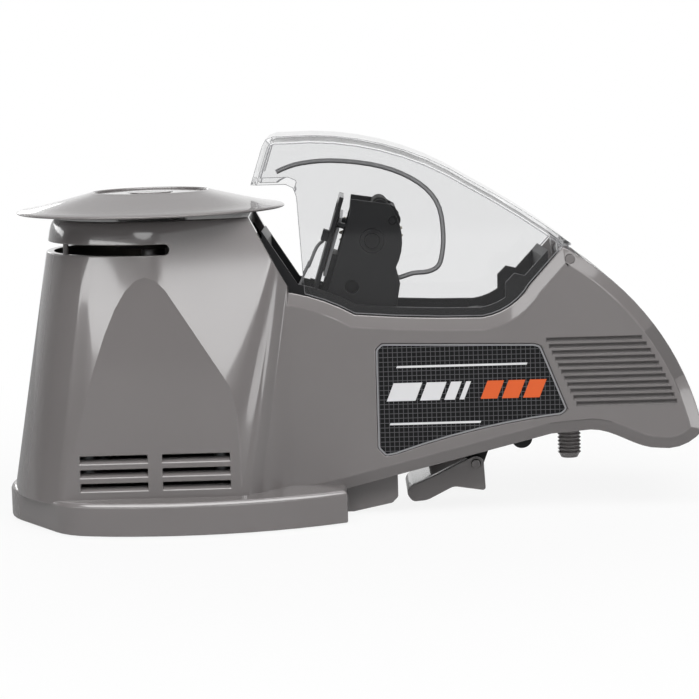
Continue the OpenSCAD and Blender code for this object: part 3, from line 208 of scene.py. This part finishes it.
grey_skin = skin("grey_skin", grey, rough=0.22, grain=0.3 * mm, depth=0.003 * mm)
grey_gloss = grey_skin.node_tree.nodes["Principled BSDF"]
for socket, value in (
    ("IOR", 1.6), ("Coat Weight", 1), ("Coat IOR", 1.6), ("Coat Roughness", 0.07),
):
    grey_gloss.inputs[socket].default_value = value
tray_cover = merged("base_tray")
ledge = [v for v in tray_cover.verts if ledge_low < v.co.z < ledge_high]
bmesh.ops.translate(tray_cover, vec=(0, 0, ledge_rise), verts=ledge)
rounded(tray_cover, corners(tray_cover, 28), 0.5 * mm, rows=3)
dressed("base_cover", tray_cover, "base_tray", grey_skin)

# Base weight, feet and screws: a zinc-plated steel plate that weighs the machine down,
# four rubber feet under the cover, and the cross-head screws that hold it to the housing.
rubber_skin = skin(
    "rubber_skin", (0.018, 0.018, 0.018), rough=0.7, grain=0.25 * mm, depth=0.04 * mm
)
zinc_skin = skin(
    "zinc_skin", (0.42, 0.43, 0.45), rough=0.34, grain=0.5 * mm, depth=0.01 * mm, metal=1
)
softened("ballast_plate", "base_weight", zinc_skin, 0.8 * mm)
softened("rubber_feet", "base_feet", rubber_skin, 0.3 * mm)


def crossed(part, heads, half, depth):
    """Sinks a cross recess into the faces of screw heads."""
    for head in heads:
        middle, normal = head.calc_center_median(), head.normal.copy()
        along = normal.orthogonal().normalized()
        arms = (along, normal.cross(along))
        bmesh.ops.inset_region(part, faces=[head], thickness=0.5 * mm)
        inside = [head, *head.edges, *head.verts]
        for arm in arms:
            for shift in (-half, half):
                inside = bmesh.ops.bisect_plane(
                    part, geom=inside, dist=0.0005 * mm,
                    plane_co=middle + arm * shift, plane_no=arm,
                )["geom"]
        recess = [
            f for f in inside if isinstance(f, bmesh.types.BMFace)
            and any(abs((f.calc_center_median() - middle).dot(arm)) < half * 0.9 for arm in arms)
        ]
        bmesh.ops.inset_region(part, faces=recess, thickness=0.03 * mm, depth=-depth)


bottom = merged("base_screws")
rounded(bottom, corners(bottom, 30), 0.15 * mm)
bottom_heads = [
    f for f in bottom.faces if f.normal.z < -0.99 and f.calc_area() > 12 * mm * mm
]
crossed(bottom, bottom_heads, half=0.45 * mm, depth=0.8 * mm)
dressed("bottom_screws", bottom, "base_screws", zinc_skin)

# Main housing: pot, waist and nose in one grey ABS moulding with vents and grip grooves.
# Small radii break its edges, and a wide fillet runs where the pot meets the waist.
# A thin post stands in the slot under the disc.
waist_side = 25 * mm
valley_start, valley_end = -30 * mm, -12 * mm
valley_radius = 7 * mm
arch_foot = 40 * mm
groove_box = ((64, 108), (23, 24.97), (30, 60))
stay_place = (-92.4 * mm, -20 * mm, 91.6 * mm)
shell = merged("main_housing")
pot_flats = [
    f for f in shell.faces
    if abs(f.normal.y) > 0.99 and f.normal.z > 0.02 and f.calc_area() > 400 * mm * mm
]
arch = {e for f in pot_flats for e in f.edges if e.calc_face_angle() < math.radians(50)}
valley = {
    e for e in corners(shell, 30)
    if not e.is_convex and e.calc_length() > 50 * mm
    and all(
        abs(abs(v.co.y) - waist_side) < 0.1 * mm and valley_start < v.co.x < valley_end
        for v in e.verts
    )
}
crisp = [e for e in corners(shell, 15) if e not in arch and e not in valley]
for edge in arch:
    edge.smooth = max(v.co.z for v in edge.verts) < arch_foot
rounded(shell, crisp, 0.35 * mm)
edge_mark = shell.faces.layers.float["edge"]
for face in rounded(shell, [e for e in valley if e.is_valid], valley_radius, rows=8):
    face[edge_mark] = 0
# The faces of the grip grooves get a darker, rougher grey: painted shade in the recesses.
groove_painted_shade = tuple(c * 0.62 for c in grey)
groove_shade_skin = skin(
    "groove_shade_skin", groove_painted_shade, rough=0.55, grain=0.3 * mm, depth=0.003 * mm, wear_and_sheen=0
)
for face in shell.faces:
    x, y, z = face.calc_center_median() / mm
    if all(low < at < high for at, (low, high) in zip((x, abs(y), z), groove_box)):
        face.material_index = 1
housing = dressed("housing_shell", shell, "main_housing", grey_skin, smooth=42)
housing.data.materials.append(groove_shade_skin)
stay = bmesh.new()
bmesh.ops.create_cone(
    stay, cap_ends=True, segments=24, radius1=1 * mm, radius2=0.9 * mm, depth=3.6 * mm,
    matrix=Matrix.Translation(stay_place),
)
rounded(stay, corners(stay, 40), 0.15 * mm)
dressed("slot_stay", stay, "main_housing", grey_skin)

# Drive in the pot: motor, bearings, gears and spindle on a plate, and the control board.
# They are stock parts of zinc, steel and acetal. The plate stands on four posts,
# and little of this shows, through the slot under the disc.
steel_skin = skin(
    "steel_skin", (0.55, 0.55, 0.56), rough=0.28, grain=0.4 * mm, depth=0.01 * mm, metal=1
)
acetal_skin = skin(
    "acetal_skin", (0.72, 0.68, 0.58), rough=0.42, grain=0.4 * mm, depth=0.01 * mm
)
board_skin = skin("board_skin", (0.012, 0.1, 0.035), rough=0.3, grain=0.4 * mm, depth=0.02 * mm)
softened("drive_posts", "mount_posts", zinc_skin, 0.2 * mm)
softened("drive_plate", "motor_mount", zinc_skin, 0.25 * mm)
softened("disc_bearings", "bearings", steel_skin, 0.2 * mm)
softened("disc_spindle", "spindle", steel_skin, 0.2 * mm)
softened("disc_gear", "spindle_gear", acetal_skin, 0.1 * mm)
softened("motor_pinion", "drive_pinion", acetal_skin, 0.08 * mm)
softened("disc_motor", "turntable_motor", zinc_skin, 0.3 * mm)
softened("control_board", "main_board", board_skin, 0.15 * mm)


# Turntable: a thin grey moulded disc with a sunk centre, turned here from its section.
# A round cap and a broad slotted screw hold it on the spindle.
def turned(profile, axis, steps):
    """A ring turned from a closed profile of radius and height in millimetres."""
    part = bmesh.new()
    points = [part.verts.new((axis.x + r * mm, axis.y, z * mm)) for r, z in profile]
    outline = [part.edges.new(pair) for pair in zip(points, points[1:] + points[:1])]
    bmesh.ops.spin(
        part, geom=points + outline, cent=axis, axis=(0, 0, 1),
        angle=math.tau, steps=steps, use_merge=True,
    )
    bmesh.ops.remove_doubles(part, verts=part.verts, dist=0.001 * mm)
    bmesh.ops.recalc_face_normals(part, faces=part.faces)
    return part


disc_low, disc_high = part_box("turntable_disc")
disc_axis = Vector(((disc_low[0] + disc_high[0]) / 2, 0, 0))
disc_profile = [
    (7.2, 101.4), (12, 101.4), (12, 104.4), (19, 104.6), (24.5, 104.3), (30, 103.7), (35, 102.9),
    (40, 102), (44.4, 102.45), (44.85, 102.6), (45, 102.9), (44.85, 103.15), (44.4, 103.4),
    (42, 103.8), (40, 104.1), (37, 104.7), (34, 105.4), (31, 106.1), (28, 106.85), (25, 107.6),
    (22.5, 108.2), (20.6, 108.7), (19.9, 108.95), (19.5, 108.9), (19.2, 108.6), (19.2, 106.6),
    (7.2, 106.6),
]
disc = turned(disc_profile, disc_axis, 192)
rounded(disc, corners(disc, 40), 0.15 * mm)
dressed("disc", disc, "turntable_disc", grey_skin)
cap_profile = [
    (3.1, 106.6), (18.4, 106.6), (18.4, 107.8), (18.1, 108.15), (17.6, 108.3), (12, 108.35),
    (8.3, 108.35), (7.9, 108.25), (7.7, 108), (7.7, 107.6), (3.1, 107.6),
]
cap = turned(cap_profile, disc_axis, 128)
rounded(cap, corners(cap, 50), 0.1 * mm)
dressed("disc_cap", cap, "centre_cap", grey_skin)
softened("disc_screw", "cap_screw", grey_skin, 0.12 * mm)

# Power switch and inlet: a rocker switch and a barrel socket in the pot's back wall.
# Both are black plastic and snap in. The rocker is printed with a ring for off, a bar for on.
black_skin = skin(
    "black_skin", (0.009, 0.009, 0.01), rough=0.42, grain=0.5 * mm, depth=0.001 * mm,
    wear_and_sheen=0.05, shine=0.4,
)
mark_ink = skin(
    "mark_ink", (0.55, 0.55, 0.55), rough=0.45, grain=0.4 * mm, depth=0.002 * mm, wear_and_sheen=0
)
softened("switch_bezel", "switch_frame", black_skin, 0.25 * mm)


def printed(part, face, side, shapes):
    """Prints small raised bars, rings and arrows on a face: kind, width, height, across, up."""
    middle, out = face.calc_center_median(), face.normal.normalized()
    axes = Matrix((side, out.cross(side), out)).transposed().to_4x4()
    for kind, wide, tall, across, up in shapes:
        spot = Matrix.Translation(middle) @ axes @ Matrix.Translation((across * mm, up * mm, 0))
        size = Matrix.Diagonal((wide * mm, tall * mm, 0.12 * mm, 1))
        if kind == "bar":
            made = bmesh.ops.create_cube(part, size=1, matrix=spot @ size)
        else:
            made = bmesh.ops.create_cone(
                part, cap_ends=True, segments=3 if kind == "arrow" else 40,
                radius1=0.5, radius2=0.5, depth=1.4 if kind == "hole" else 1,
                matrix=spot @ size,
            )
        for mark in {f for v in made["verts"] for f in v.link_faces}:
            mark.material_index = 0 if kind == "hole" else 1


rocker = merged("power_rocker")
rocker_faces = sorted(
    (f for f in rocker.faces if f.normal.y > 0.9 and f.calc_area() > 40 * mm * mm),
    key=lambda f: f.calc_center_median().z,
)
off_mark = [("ring", 3, 3, 0, 0), ("hole", 2, 2, 0, 0)]
on_mark = [("bar", 0.6, 3, 0, 0)]
for face, shapes in zip(rocker_faces, (off_mark, on_mark)):
    printed(rocker, face, Vector((-1, 0, 0)), shapes)
rounded(rocker, [
    e for e in corners(rocker, 30)
    if all(f.material_index == 0 for f in e.link_faces) and e.calc_length() > 2 * mm
], 0.25 * mm)
made = dressed("rocker", rocker, "power_rocker", black_skin)
made.data.materials.append(mark_ink)
softened("power_socket", "power_inlet", black_skin, 0.25 * mm)

# Control panel: a black plate on the nose crown with a dark red display and a board behind.
# Four rubber keys come through it, each printed with a plain mark.
lens_skin = skin("lens_skin", (0.05, 0.002, 0.003), rough=0.08, grain=0.6 * mm, depth=0.004 * mm)
softened("panel", "panel_plate", black_skin, 0.25 * mm)
softened("display", "display_window", lens_skin, 0.2 * mm)
softened("panel_electronics", "panel_board", board_skin, 0.15 * mm)
for name, shapes in (
    ("button_feed", [("arrow", 2.8, 2.8, 0, 0)]),
    ("button_cut", [("bar", 2.8, 0.6, 0, 0.7), ("bar", 2.8, 0.6, 0, -0.7)]),
    ("button_less", [("bar", 2.8, 0.6, 0, 0)]),
    ("button_more", [("bar", 2.8, 0.6, 0, 0), ("bar", 0.6, 2.8, 0, 0)]),
):
    key = merged(name)
    rounded(key, corners(key, 30), 0.4 * mm)
    tops = [
        f for f in key.faces
        if f.normal.x > 0.8 and f.normal.z > 0.3 and f.calc_area() > 30 * mm * mm
    ]
    top = max(tops, key=lambda f: f.calc_center_median().x)
    printed(key, top, Vector((0, 1, 0)), shapes)
    made = dressed(name.replace("button", "key"), key, name, rubber_skin)
    made.data.materials.append(mark_ink)

# Tray and tape core: the black moulded liner of the roll room, set into the housing.
# A steel axle crosses it and carries the black core that the tape roll goes on.
rim_height = 60 * mm
lip_drop = 1.2 * mm
liner = merged("inner_tray")
far_lip = {
    v for f in liner.faces if f.normal.z > 0.4
    for v in f.verts if v.co.z > rim_height and v.co.y > 0
}
bmesh.ops.translate(liner, vec=(0, 0, -lip_drop), verts=list(far_lip))
rounded(liner, corners(liner, 30), 0.2 * mm)
dressed("tray", liner, "inner_tray", black_skin)
softened("core_axle", "reel_axle", steel_skin, 0.2 * mm)
softened("tape_core", "tape_reel", black_skin, 0.25 * mm)

# Feed unit: two black cheeks, held by screws, with the feed roller, its gears and motor.
# A sprung fork between them carries the rubber pinch roller. Shafts, motor and screws are
# dark steel, and the pinion's bore is a little wide so that it turns clear of its shaft.
bore_share, bore_growth = 0.45, 1.05
cheek_side = 15 * mm
dark_steel_skin = skin(
    "dark_steel_skin", (0.05, 0.05, 0.052), rough=0.34, grain=0.4 * mm, depth=0.004 * mm, metal=1
)
softened("cheek_near", "feed_cheek_near", black_skin, 0.35 * mm)
softened("cheek_far", "feed_cheek_far", black_skin, 0.35 * mm)
softened("shaft_bushes", "feed_bushes", black_skin, 0.15 * mm)
softened("roller_shaft", "feed_shaft", dark_steel_skin, 0.15 * mm)
softened("roller", "feed_roller", rubber_skin, 0.15 * mm)
softened("roller_gear", "feed_gear", acetal_skin, 0.08 * mm)
pinion = merged("feed_pinion")
pinion_low, pinion_high = (Vector(corner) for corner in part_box("feed_pinion"))
pinion_axis = (pinion_low + pinion_high) / 2
pinion_radius = (pinion_high.x - pinion_low.x) / 2
bore = [
    v for v in pinion.verts
    if math.hypot(v.co.x - pinion_axis.x, v.co.z - pinion_axis.z) < bore_share * pinion_radius
]
bmesh.ops.scale(
    pinion, vec=(bore_growth, 1, bore_growth), space=Matrix.Translation(-pinion_axis), verts=bore
)
rounded(pinion, corners(pinion, 30), 0.08 * mm)
dressed("feed_motor_pinion", pinion, "feed_pinion", acetal_skin)
softened("feed_drive", "feed_motor", dark_steel_skin, 0.2 * mm)
softened("pinch_pivot", "pinch_pins", dark_steel_skin, 0.1 * mm)
softened("pinch_fork", "pinch_arm", black_skin, 0.15 * mm)
softened("pinch_wheel", "pinch_roller", rubber_skin, 0.1 * mm)
screws = merged("cheek_screws")
rounded(screws, corners(screws, 30), 0.12 * mm)
cheek_heads = [
    f for f in screws.faces
    if f.normal.y * f.calc_center_median().y > 0.99 * cheek_side
    and f.calc_area() > 9 * mm * mm
]
crossed(screws, cheek_heads, half=0.4 * mm, depth=0.7 * mm)
dressed("unit_screws", screws, "cheek_screws", dark_steel_skin)

# Cutter: a fixed steel blade on the sloped black front plate, and a moving one on a carriage.
# A solenoid in a zinc case drives the carriage up, and it springs back.
softened("front_guard", "front_plate", black_skin, 0.3 * mm)
softened("blade_fixed", "fixed_blade", steel_skin, 0.05 * mm)
softened("blade_moving", "moving_blade", steel_skin, 0.05 * mm)
softened("carriage", "blade_carriage", black_skin, 0.2 * mm)
softened("solenoid", "cutter_solenoid", zinc_skin, 0.2 * mm)

# Sensor and lead: a small black optical sensor on the front plate.
# Its thin grey lead, a plastic-covered wire, runs down to a hole in the tray.
lead_skin = skin("lead_skin", (0.2, 0.2, 0.205), rough=0.4, grain=0.5 * mm, depth=0.002 * mm)
softened("sensor", "tape_sensor", black_skin, 0.2 * mm)
softened("sensor_wire", "sensor_lead", lead_skin, 0.1 * mm, bend=70, smooth=60)

# Presser wire: one length of bent steel wire in a small black hub, turned by a motor.
# Its free end presses each cut strip onto the disc.
wire_skin = skin(
    "wire_skin", (0.5, 0.5, 0.51), rough=0.42, grain=0.4 * mm, depth=0.004 * mm, metal=1
)
softened("wire_arm", "presser_wire", wire_skin, 0.1 * mm, bend=70, smooth=60)
softened("wire_hub", "presser_hub", black_skin, 0.15 * mm)
softened("wire_motor", "presser_motor", zinc_skin, 0.2 * mm)

# Nose floor, lever and leg: a black floor closes the nose from below.
# A forked grey lock lever hangs on a pin there, and a threaded grey leg screws into the nose.
softened("floor_plate", "nose_floor", black_skin, 0.3 * mm)
paddle = merged("release_lever")
rounded(paddle, [
    e for e in corners(paddle, 20)
    if abs(e.verts[0].co.y - e.verts[1].co.y) > 0.9 * e.calc_length()
    and e.calc_length() > 3 * mm
], 1.2 * mm, rows=4)
rounded(paddle, corners(paddle, 50), 0.3 * mm)
dressed("lock_lever", paddle, "release_lever", grey_skin)
softened("lock_pin", "lever_pin", grey_skin, 0.15 * mm)
softened("leg", "adjusting_leg", grey_skin, 0.08 * mm)

# Hood: clear polycarbonate in one moulding, tipping on a pin through the top of the nose.
# It is faintly smeared, and grey along its cut edges and, much less, its upper chamfers.
clear_tint, edge_tint = (0.93, 0.932, 0.935), (0.3, 0.3, 0.31)
chamfer_grey = 0.1
clear_skin = bpy.data.materials.new("clear_skin")
clear_skin.use_nodes = True
tree = clear_skin.node_tree
clear = tree.nodes["Principled BSDF"]
for socket, value in (("IOR", 1.06), ("Coat Weight", 1), ("Coat Roughness", 0.03)):
    clear.inputs[socket].default_value = value
cut_edge = tree.nodes.new("ShaderNodeAttribute")
cut_edge.attribute_name = "edge"
at_edge = cut_edge.outputs["Fac"]
tint = blended(tree, at_edge, clear_tint, edge_tint)
tree.links.new(tint, clear.inputs["Base Color"])
through = ranged(tree, at_edge, (0, 1), (1, 0.4))
tree.links.new(through, clear.inputs["Transmission Weight"])
smears = ranged(tree, clouds(tree, 14 * mm, 2), (0.4, 0.8), (0, 0.008))
tree.links.new(smears, clear.inputs["Roughness"])
canopy = merged("hood")
edge_mark = canopy.faces.layers.float.new("edge")
under_edges = set()
for face in canopy.faces:
    if 0.6 < abs(face.normal.y) < 0.95:
        face[edge_mark] = chamfer_grey if face.normal.z > 0.05 else 0
        if face.normal.z < 0.05:
            under_edges.update(face.edges)
rounded(canopy, [e for e in corners(canopy, 15) if e not in under_edges], 0.22 * mm)
hood = dressed("clear_hood", canopy, "hood", clear_skin)
hood.visible_shadow = False
softened("hinge_pin", "hood_pin", grey_skin, 0.15 * mm)

# Labels: printed film stuck on each side of the nose, a fine grid in a silver border.
# On the grid are plain slanted stripes, pale and orange, between two thin rules.
film_side = 24 * mm
border_width = 0.55 * mm
stripe_slant = 0.4
stripe_rows = (38.6, 44.6)
stripe_middle = sum(stripe_rows) / 2
pale_stripes = ((13, 22.5), (24, 30.5), (32, 35.5), (37, 38.6))
orange_stripes = ((44, 49.5), (51, 56.5), (58, 63.5))
rules = (((30.6, 31.3), (17, 47)), ((49.6, 50.3), (12, 55)))
film_skin = skin(
    "film_skin", (0.005, 0.005, 0.0055), rough=0.3, grain=0.5 * mm, depth=0.001 * mm,
    wear_and_sheen=0, shine=0.25,
)
border_skin = skin(
    "border_skin", (0.52, 0.52, 0.54), rough=0.3, grain=0.4 * mm, depth=0.003 * mm, metal=0.8
)
pale_ink = skin("pale_ink", (0.62, 0.62, 0.63), rough=0.35, grain=0.4 * mm, depth=0.003 * mm)
orange_ink = skin("orange_ink", (0.62, 0.1, 0.02), rough=0.35, grain=0.4 * mm, depth=0.003 * mm)


def ruled(finish, pitch, line, ink):
    """Prints a grid of thin lines along X and Z on a finish."""
    tree = finish.node_tree
    colour = tree.nodes["Principled BSDF"].inputs["Base Color"]
    place = tree.nodes.new("ShaderNodeTexCoord")
    axes = tree.nodes.new("ShaderNodeSeparateXYZ")
    tree.links.new(place.outputs["Object"], axes.inputs["Vector"])
    strokes = []
    for axis in ("X", "Z"):
        beat = worked(tree, "PINGPONG", axes.outputs[axis], pitch / 2)
        strokes.append(ranged(tree, beat, (line * 0.4, line * 0.6), (1, 0)))
    grid = worked(tree, "MAXIMUM", *strokes)
    tree.links.new(blended(tree, grid, colour.links[0].from_socket, ink), colour)


ruled(film_skin, pitch=1.565 * mm, line=0.2 * mm, ink=(0.095, 0.095, 0.1))
film = merged("labels")
rounded(film, [
    e for e in corners(film, 12) if abs(e.verts[0].co.y - e.verts[1].co.y) > 0.3 * mm
], 0.7 * mm, rows=3)
level_cuts = [
    ((0, 0, z), (0, 0, 1)) for row in (stripe_rows, rules[0][0], rules[1][0]) for z in row
]
slanted_cuts = [
    ((x, 0, stripe_middle), (1, 0, -stripe_slant))
    for ends in (rules[0][1], rules[1][1], *pale_stripes, *orange_stripes) for x in ends
]
for face in [f for f in film.faces if f.normal.y * f.calc_center_median().y > 0.9 * film_side]:
    border = bmesh.ops.inset_region(film, faces=[face], thickness=border_width)["faces"]
    for strip in border:
        strip.material_index = 1
    inside = [face, *face.edges, *face.verts]
    for point, way in level_cuts + slanted_cuts:
        inside = bmesh.ops.bisect_plane(
            film, geom=inside, dist=0.0005 * mm, plane_co=Vector(point) * mm, plane_no=way
        )["geom"]
    for cell in [f for f in inside if isinstance(f, bmesh.types.BMFace)]:
        middle = cell.calc_center_median() / mm
        along = middle.x - stripe_slant * (middle.z - stripe_middle)
        if stripe_rows[0] < middle.z < stripe_rows[1]:
            if any(low < along < high for low, high in pale_stripes):
                cell.material_index = 2
            if any(low < along < high for low, high in orange_stripes):
                cell.material_index = 3
        for (low, high), (near, far) in rules:
            if low < middle.z < high and near < along < far:
                cell.material_index = 2
films = dressed("side_films", film, "labels", film_skin)
for ink in (border_skin, pale_ink, orange_ink):
    films.data.materials.append(ink)


# Table, light and camera: a white table, clear from below, in a white room. In the plastic's
# gloss both are a dim grey. Strips and cards give the highlights, a box above and soft
# fills give the shade, and the camera stands where the photograph was taken from.
def seen_directly(tree):
    """A light path, and 1 where the camera sees a surface bare or through clear plastic."""
    path = tree.nodes.new("ShaderNodeLightPath")
    turns = worked(tree, "ADD", path.outputs["Diffuse Depth"], path.outputs["Glossy Depth"])
    first = worked(tree, "LESS_THAN", turns, 0.5)
    through = worked(tree, "MULTIPLY", path.outputs["Is Transmission Ray"], first)
    return path, worked(tree, "MAXIMUM", path.outputs["Is Camera Ray"], through)


def chosen(tree, amount, first, second):
    """One surface where an amount is 0, and another where it is 1."""
    mix = tree.nodes.new("ShaderNodeMixShader")
    tree.links.new(amount, mix.inputs["Fac"])
    tree.links.new(first, mix.inputs[1])
    tree.links.new(second, mix.inputs[2])
    return mix.outputs["Shader"]


scene = bpy.context.scene
scene.view_settings.view_transform = "Standard"
table = bmesh.new()
bmesh.ops.create_circle(table, cap_ends=True, segments=64, radius=1.2)
table_mesh = bpy.data.meshes.new("table")
table.to_mesh(table_mesh)
table.free()
table_top = bpy.data.objects.new("table", table_mesh)
scene.collection.objects.link(table_top)
table_top.visible_shadow = False
white = bpy.data.materials.new("white_table")
white.use_nodes = True
table_mesh.materials.append(white)
tree = white.node_tree
paint = tree.nodes["Principled BSDF"]
paint.inputs["Base Color"].default_value = (0.5, 0.5, 0.5, 1)
paint.inputs["Roughness"].default_value = 0.8
glow = tree.nodes.new("ShaderNodeEmission")
glow.inputs["Color"].default_value = (1, 1, 1, 1)
dim = tree.nodes.new("ShaderNodeEmission")
dim.inputs["Strength"].default_value = 0.3
place = tree.nodes.new("ShaderNodeTexCoord")
reach = tree.nodes.new("ShaderNodeVectorMath")
reach.operation = "LENGTH"
tree.links.new(place.outputs["Object"], reach.inputs[0])
fade = ranged(tree, reach.outputs["Value"], (0.08, 0.34), (0.88, 1), soft=True)
path, direct = seen_directly(tree)
glowing = worked(tree, "MULTIPLY", direct, fade)
lit = chosen(
    tree, path.outputs["Is Glossy Ray"], paint.outputs["BSDF"], dim.outputs["Emission"]
)
upper = chosen(tree, glowing, lit, glow.outputs["Emission"])
facing = tree.nodes.new("ShaderNodeNewGeometry")
lower = tree.nodes.new("ShaderNodeBsdfTransparent")
surface = chosen(tree, facing.outputs["Backfacing"], upper, lower.outputs["BSDF"])
tree.links.new(surface, tree.nodes["Material Output"].inputs["Surface"])

room = bpy.data.worlds.new("studio")
scene.world = room
room.use_nodes = True
tree = room.node_tree
sky = tree.nodes["Background"]
sky.inputs["Color"].default_value = (1, 1, 1, 1)
path, direct = seen_directly(tree)
way = tree.nodes.new("ShaderNodeTexCoord")
axes = tree.nodes.new("ShaderNodeSeparateXYZ")
tree.links.new(way.outputs["Generated"], axes.inputs["Vector"])
backdrop = ranged(tree, axes.outputs["Y"], (0.25, 0.85), (0.06, 0.48), soft=True)
horizon = ranged(tree, axes.outputs["Y"], (0.92, 0.99), (0, 0.4), soft=True)
mirrored = tree.nodes.new("ShaderNodeMix")
mirrored.inputs["A"].default_value = 0.12
tree.links.new(path.outputs["Is Glossy Ray"], mirrored.inputs["Factor"])
tree.links.new(worked(tree, "ADD", backdrop, horizon), mirrored.inputs["B"])
level = tree.nodes.new("ShaderNodeMix")
level.inputs["B"].default_value = 1
tree.links.new(direct, level.inputs["Factor"])
tree.links.new(mirrored.outputs["Result"], level.inputs["A"])
tree.links.new(level.outputs["Result"], sky.inputs["Strength"])

aim = Vector((-0.02, 0, 0.06))
flat_lamp_depth = 0.65
for name, angle, out, low, high, wide, glare, use in (
    ("strip_left", -43, 0.8, 0.185, 0.258, 0.8, 4.4, "gloss"),
    ("strip_right", 19, 0.8, 0.205, 0.288, 0.36, 4.4, "gloss"),
    ("strip_back_right", 161, 0.8, 0.205, 0.288, 0.36, 2.2, "gloss"),
    ("strip_back_left", 223, 0.8, 0.185, 0.258, 0.8, 2.6, "gloss"),
    ("card_left", -16, 0.343, 0.178, 0.27, 0.12, 2, "gloss"),
    ("card_right", 40, 0.43, 0.25, 0.31, 0.08, 1.8, "gloss"),
    ("card_low", 62, 0.33, 0.002, 0.062, 0.17, 2, "gloss"),
    ("box_over", 0, 0.43, 0.95, 0.95, 1.6, 4, "all"),
    ("fill_front", 0, 0.64, 0.82, 0.82, 1.2, 2.9, "shade"),
    ("fill_back", 180, 0.86, 0.5, 0.5, 1.2, 2.8, "shade"),
    ("fill_below", 0, 0.1, -0.4, -0.4, 0.7, 1.1, "shade"),
):
    turn = math.radians(angle)
    spot = Vector((math.sin(turn) * out, -math.cos(turn) * out, (low + high) / 2))
    tall = high - low or flat_lamp_depth
    lamp = bpy.data.lights.new(name, "AREA")
    lamp.shape = "ELLIPSE" if name.startswith("card") else "RECTANGLE"
    lamp.size = wide
    lamp.size_y = tall
    lamp.energy = math.pi * wide * tall * glare
    stand = bpy.data.objects.new(name, lamp)
    scene.collection.objects.link(stand)
    stand.visible_camera = False
    stand.visible_transmission = False
    stand.visible_diffuse = use != "gloss"
    stand.visible_glossy = use != "shade"
    stand.location = spot
    toward = aim - spot
    if high > low:
        toward.z = 0
    stand.rotation_euler = toward.to_track_quat("-Z", "Y").to_euler()

picture_pixels = 699
focal_pixels = 2300
look_at, away = Vector((0, 0, 0.053)), 0.782
tilt, roll = math.radians(7.4), math.radians(1.6)
look = Vector((0, math.cos(tilt), -math.sin(tilt)))
side = Vector((1, 0, 0))
over = side.cross(look)
right = side * math.cos(roll) - over * math.sin(roll)
up = side * math.sin(roll) + over * math.cos(roll)
lens = bpy.data.cameras.new("camera")
lens.sensor_width = 36
lens.lens = focal_pixels / picture_pixels * lens.sensor_width
camera = bpy.data.objects.new("camera", lens)
scene.collection.objects.link(camera)
camera.matrix_world = Matrix.Translation(look_at - look * away) @ Matrix(
    (right, up, -look)
).transposed().to_4x4()
scene.camera = camera
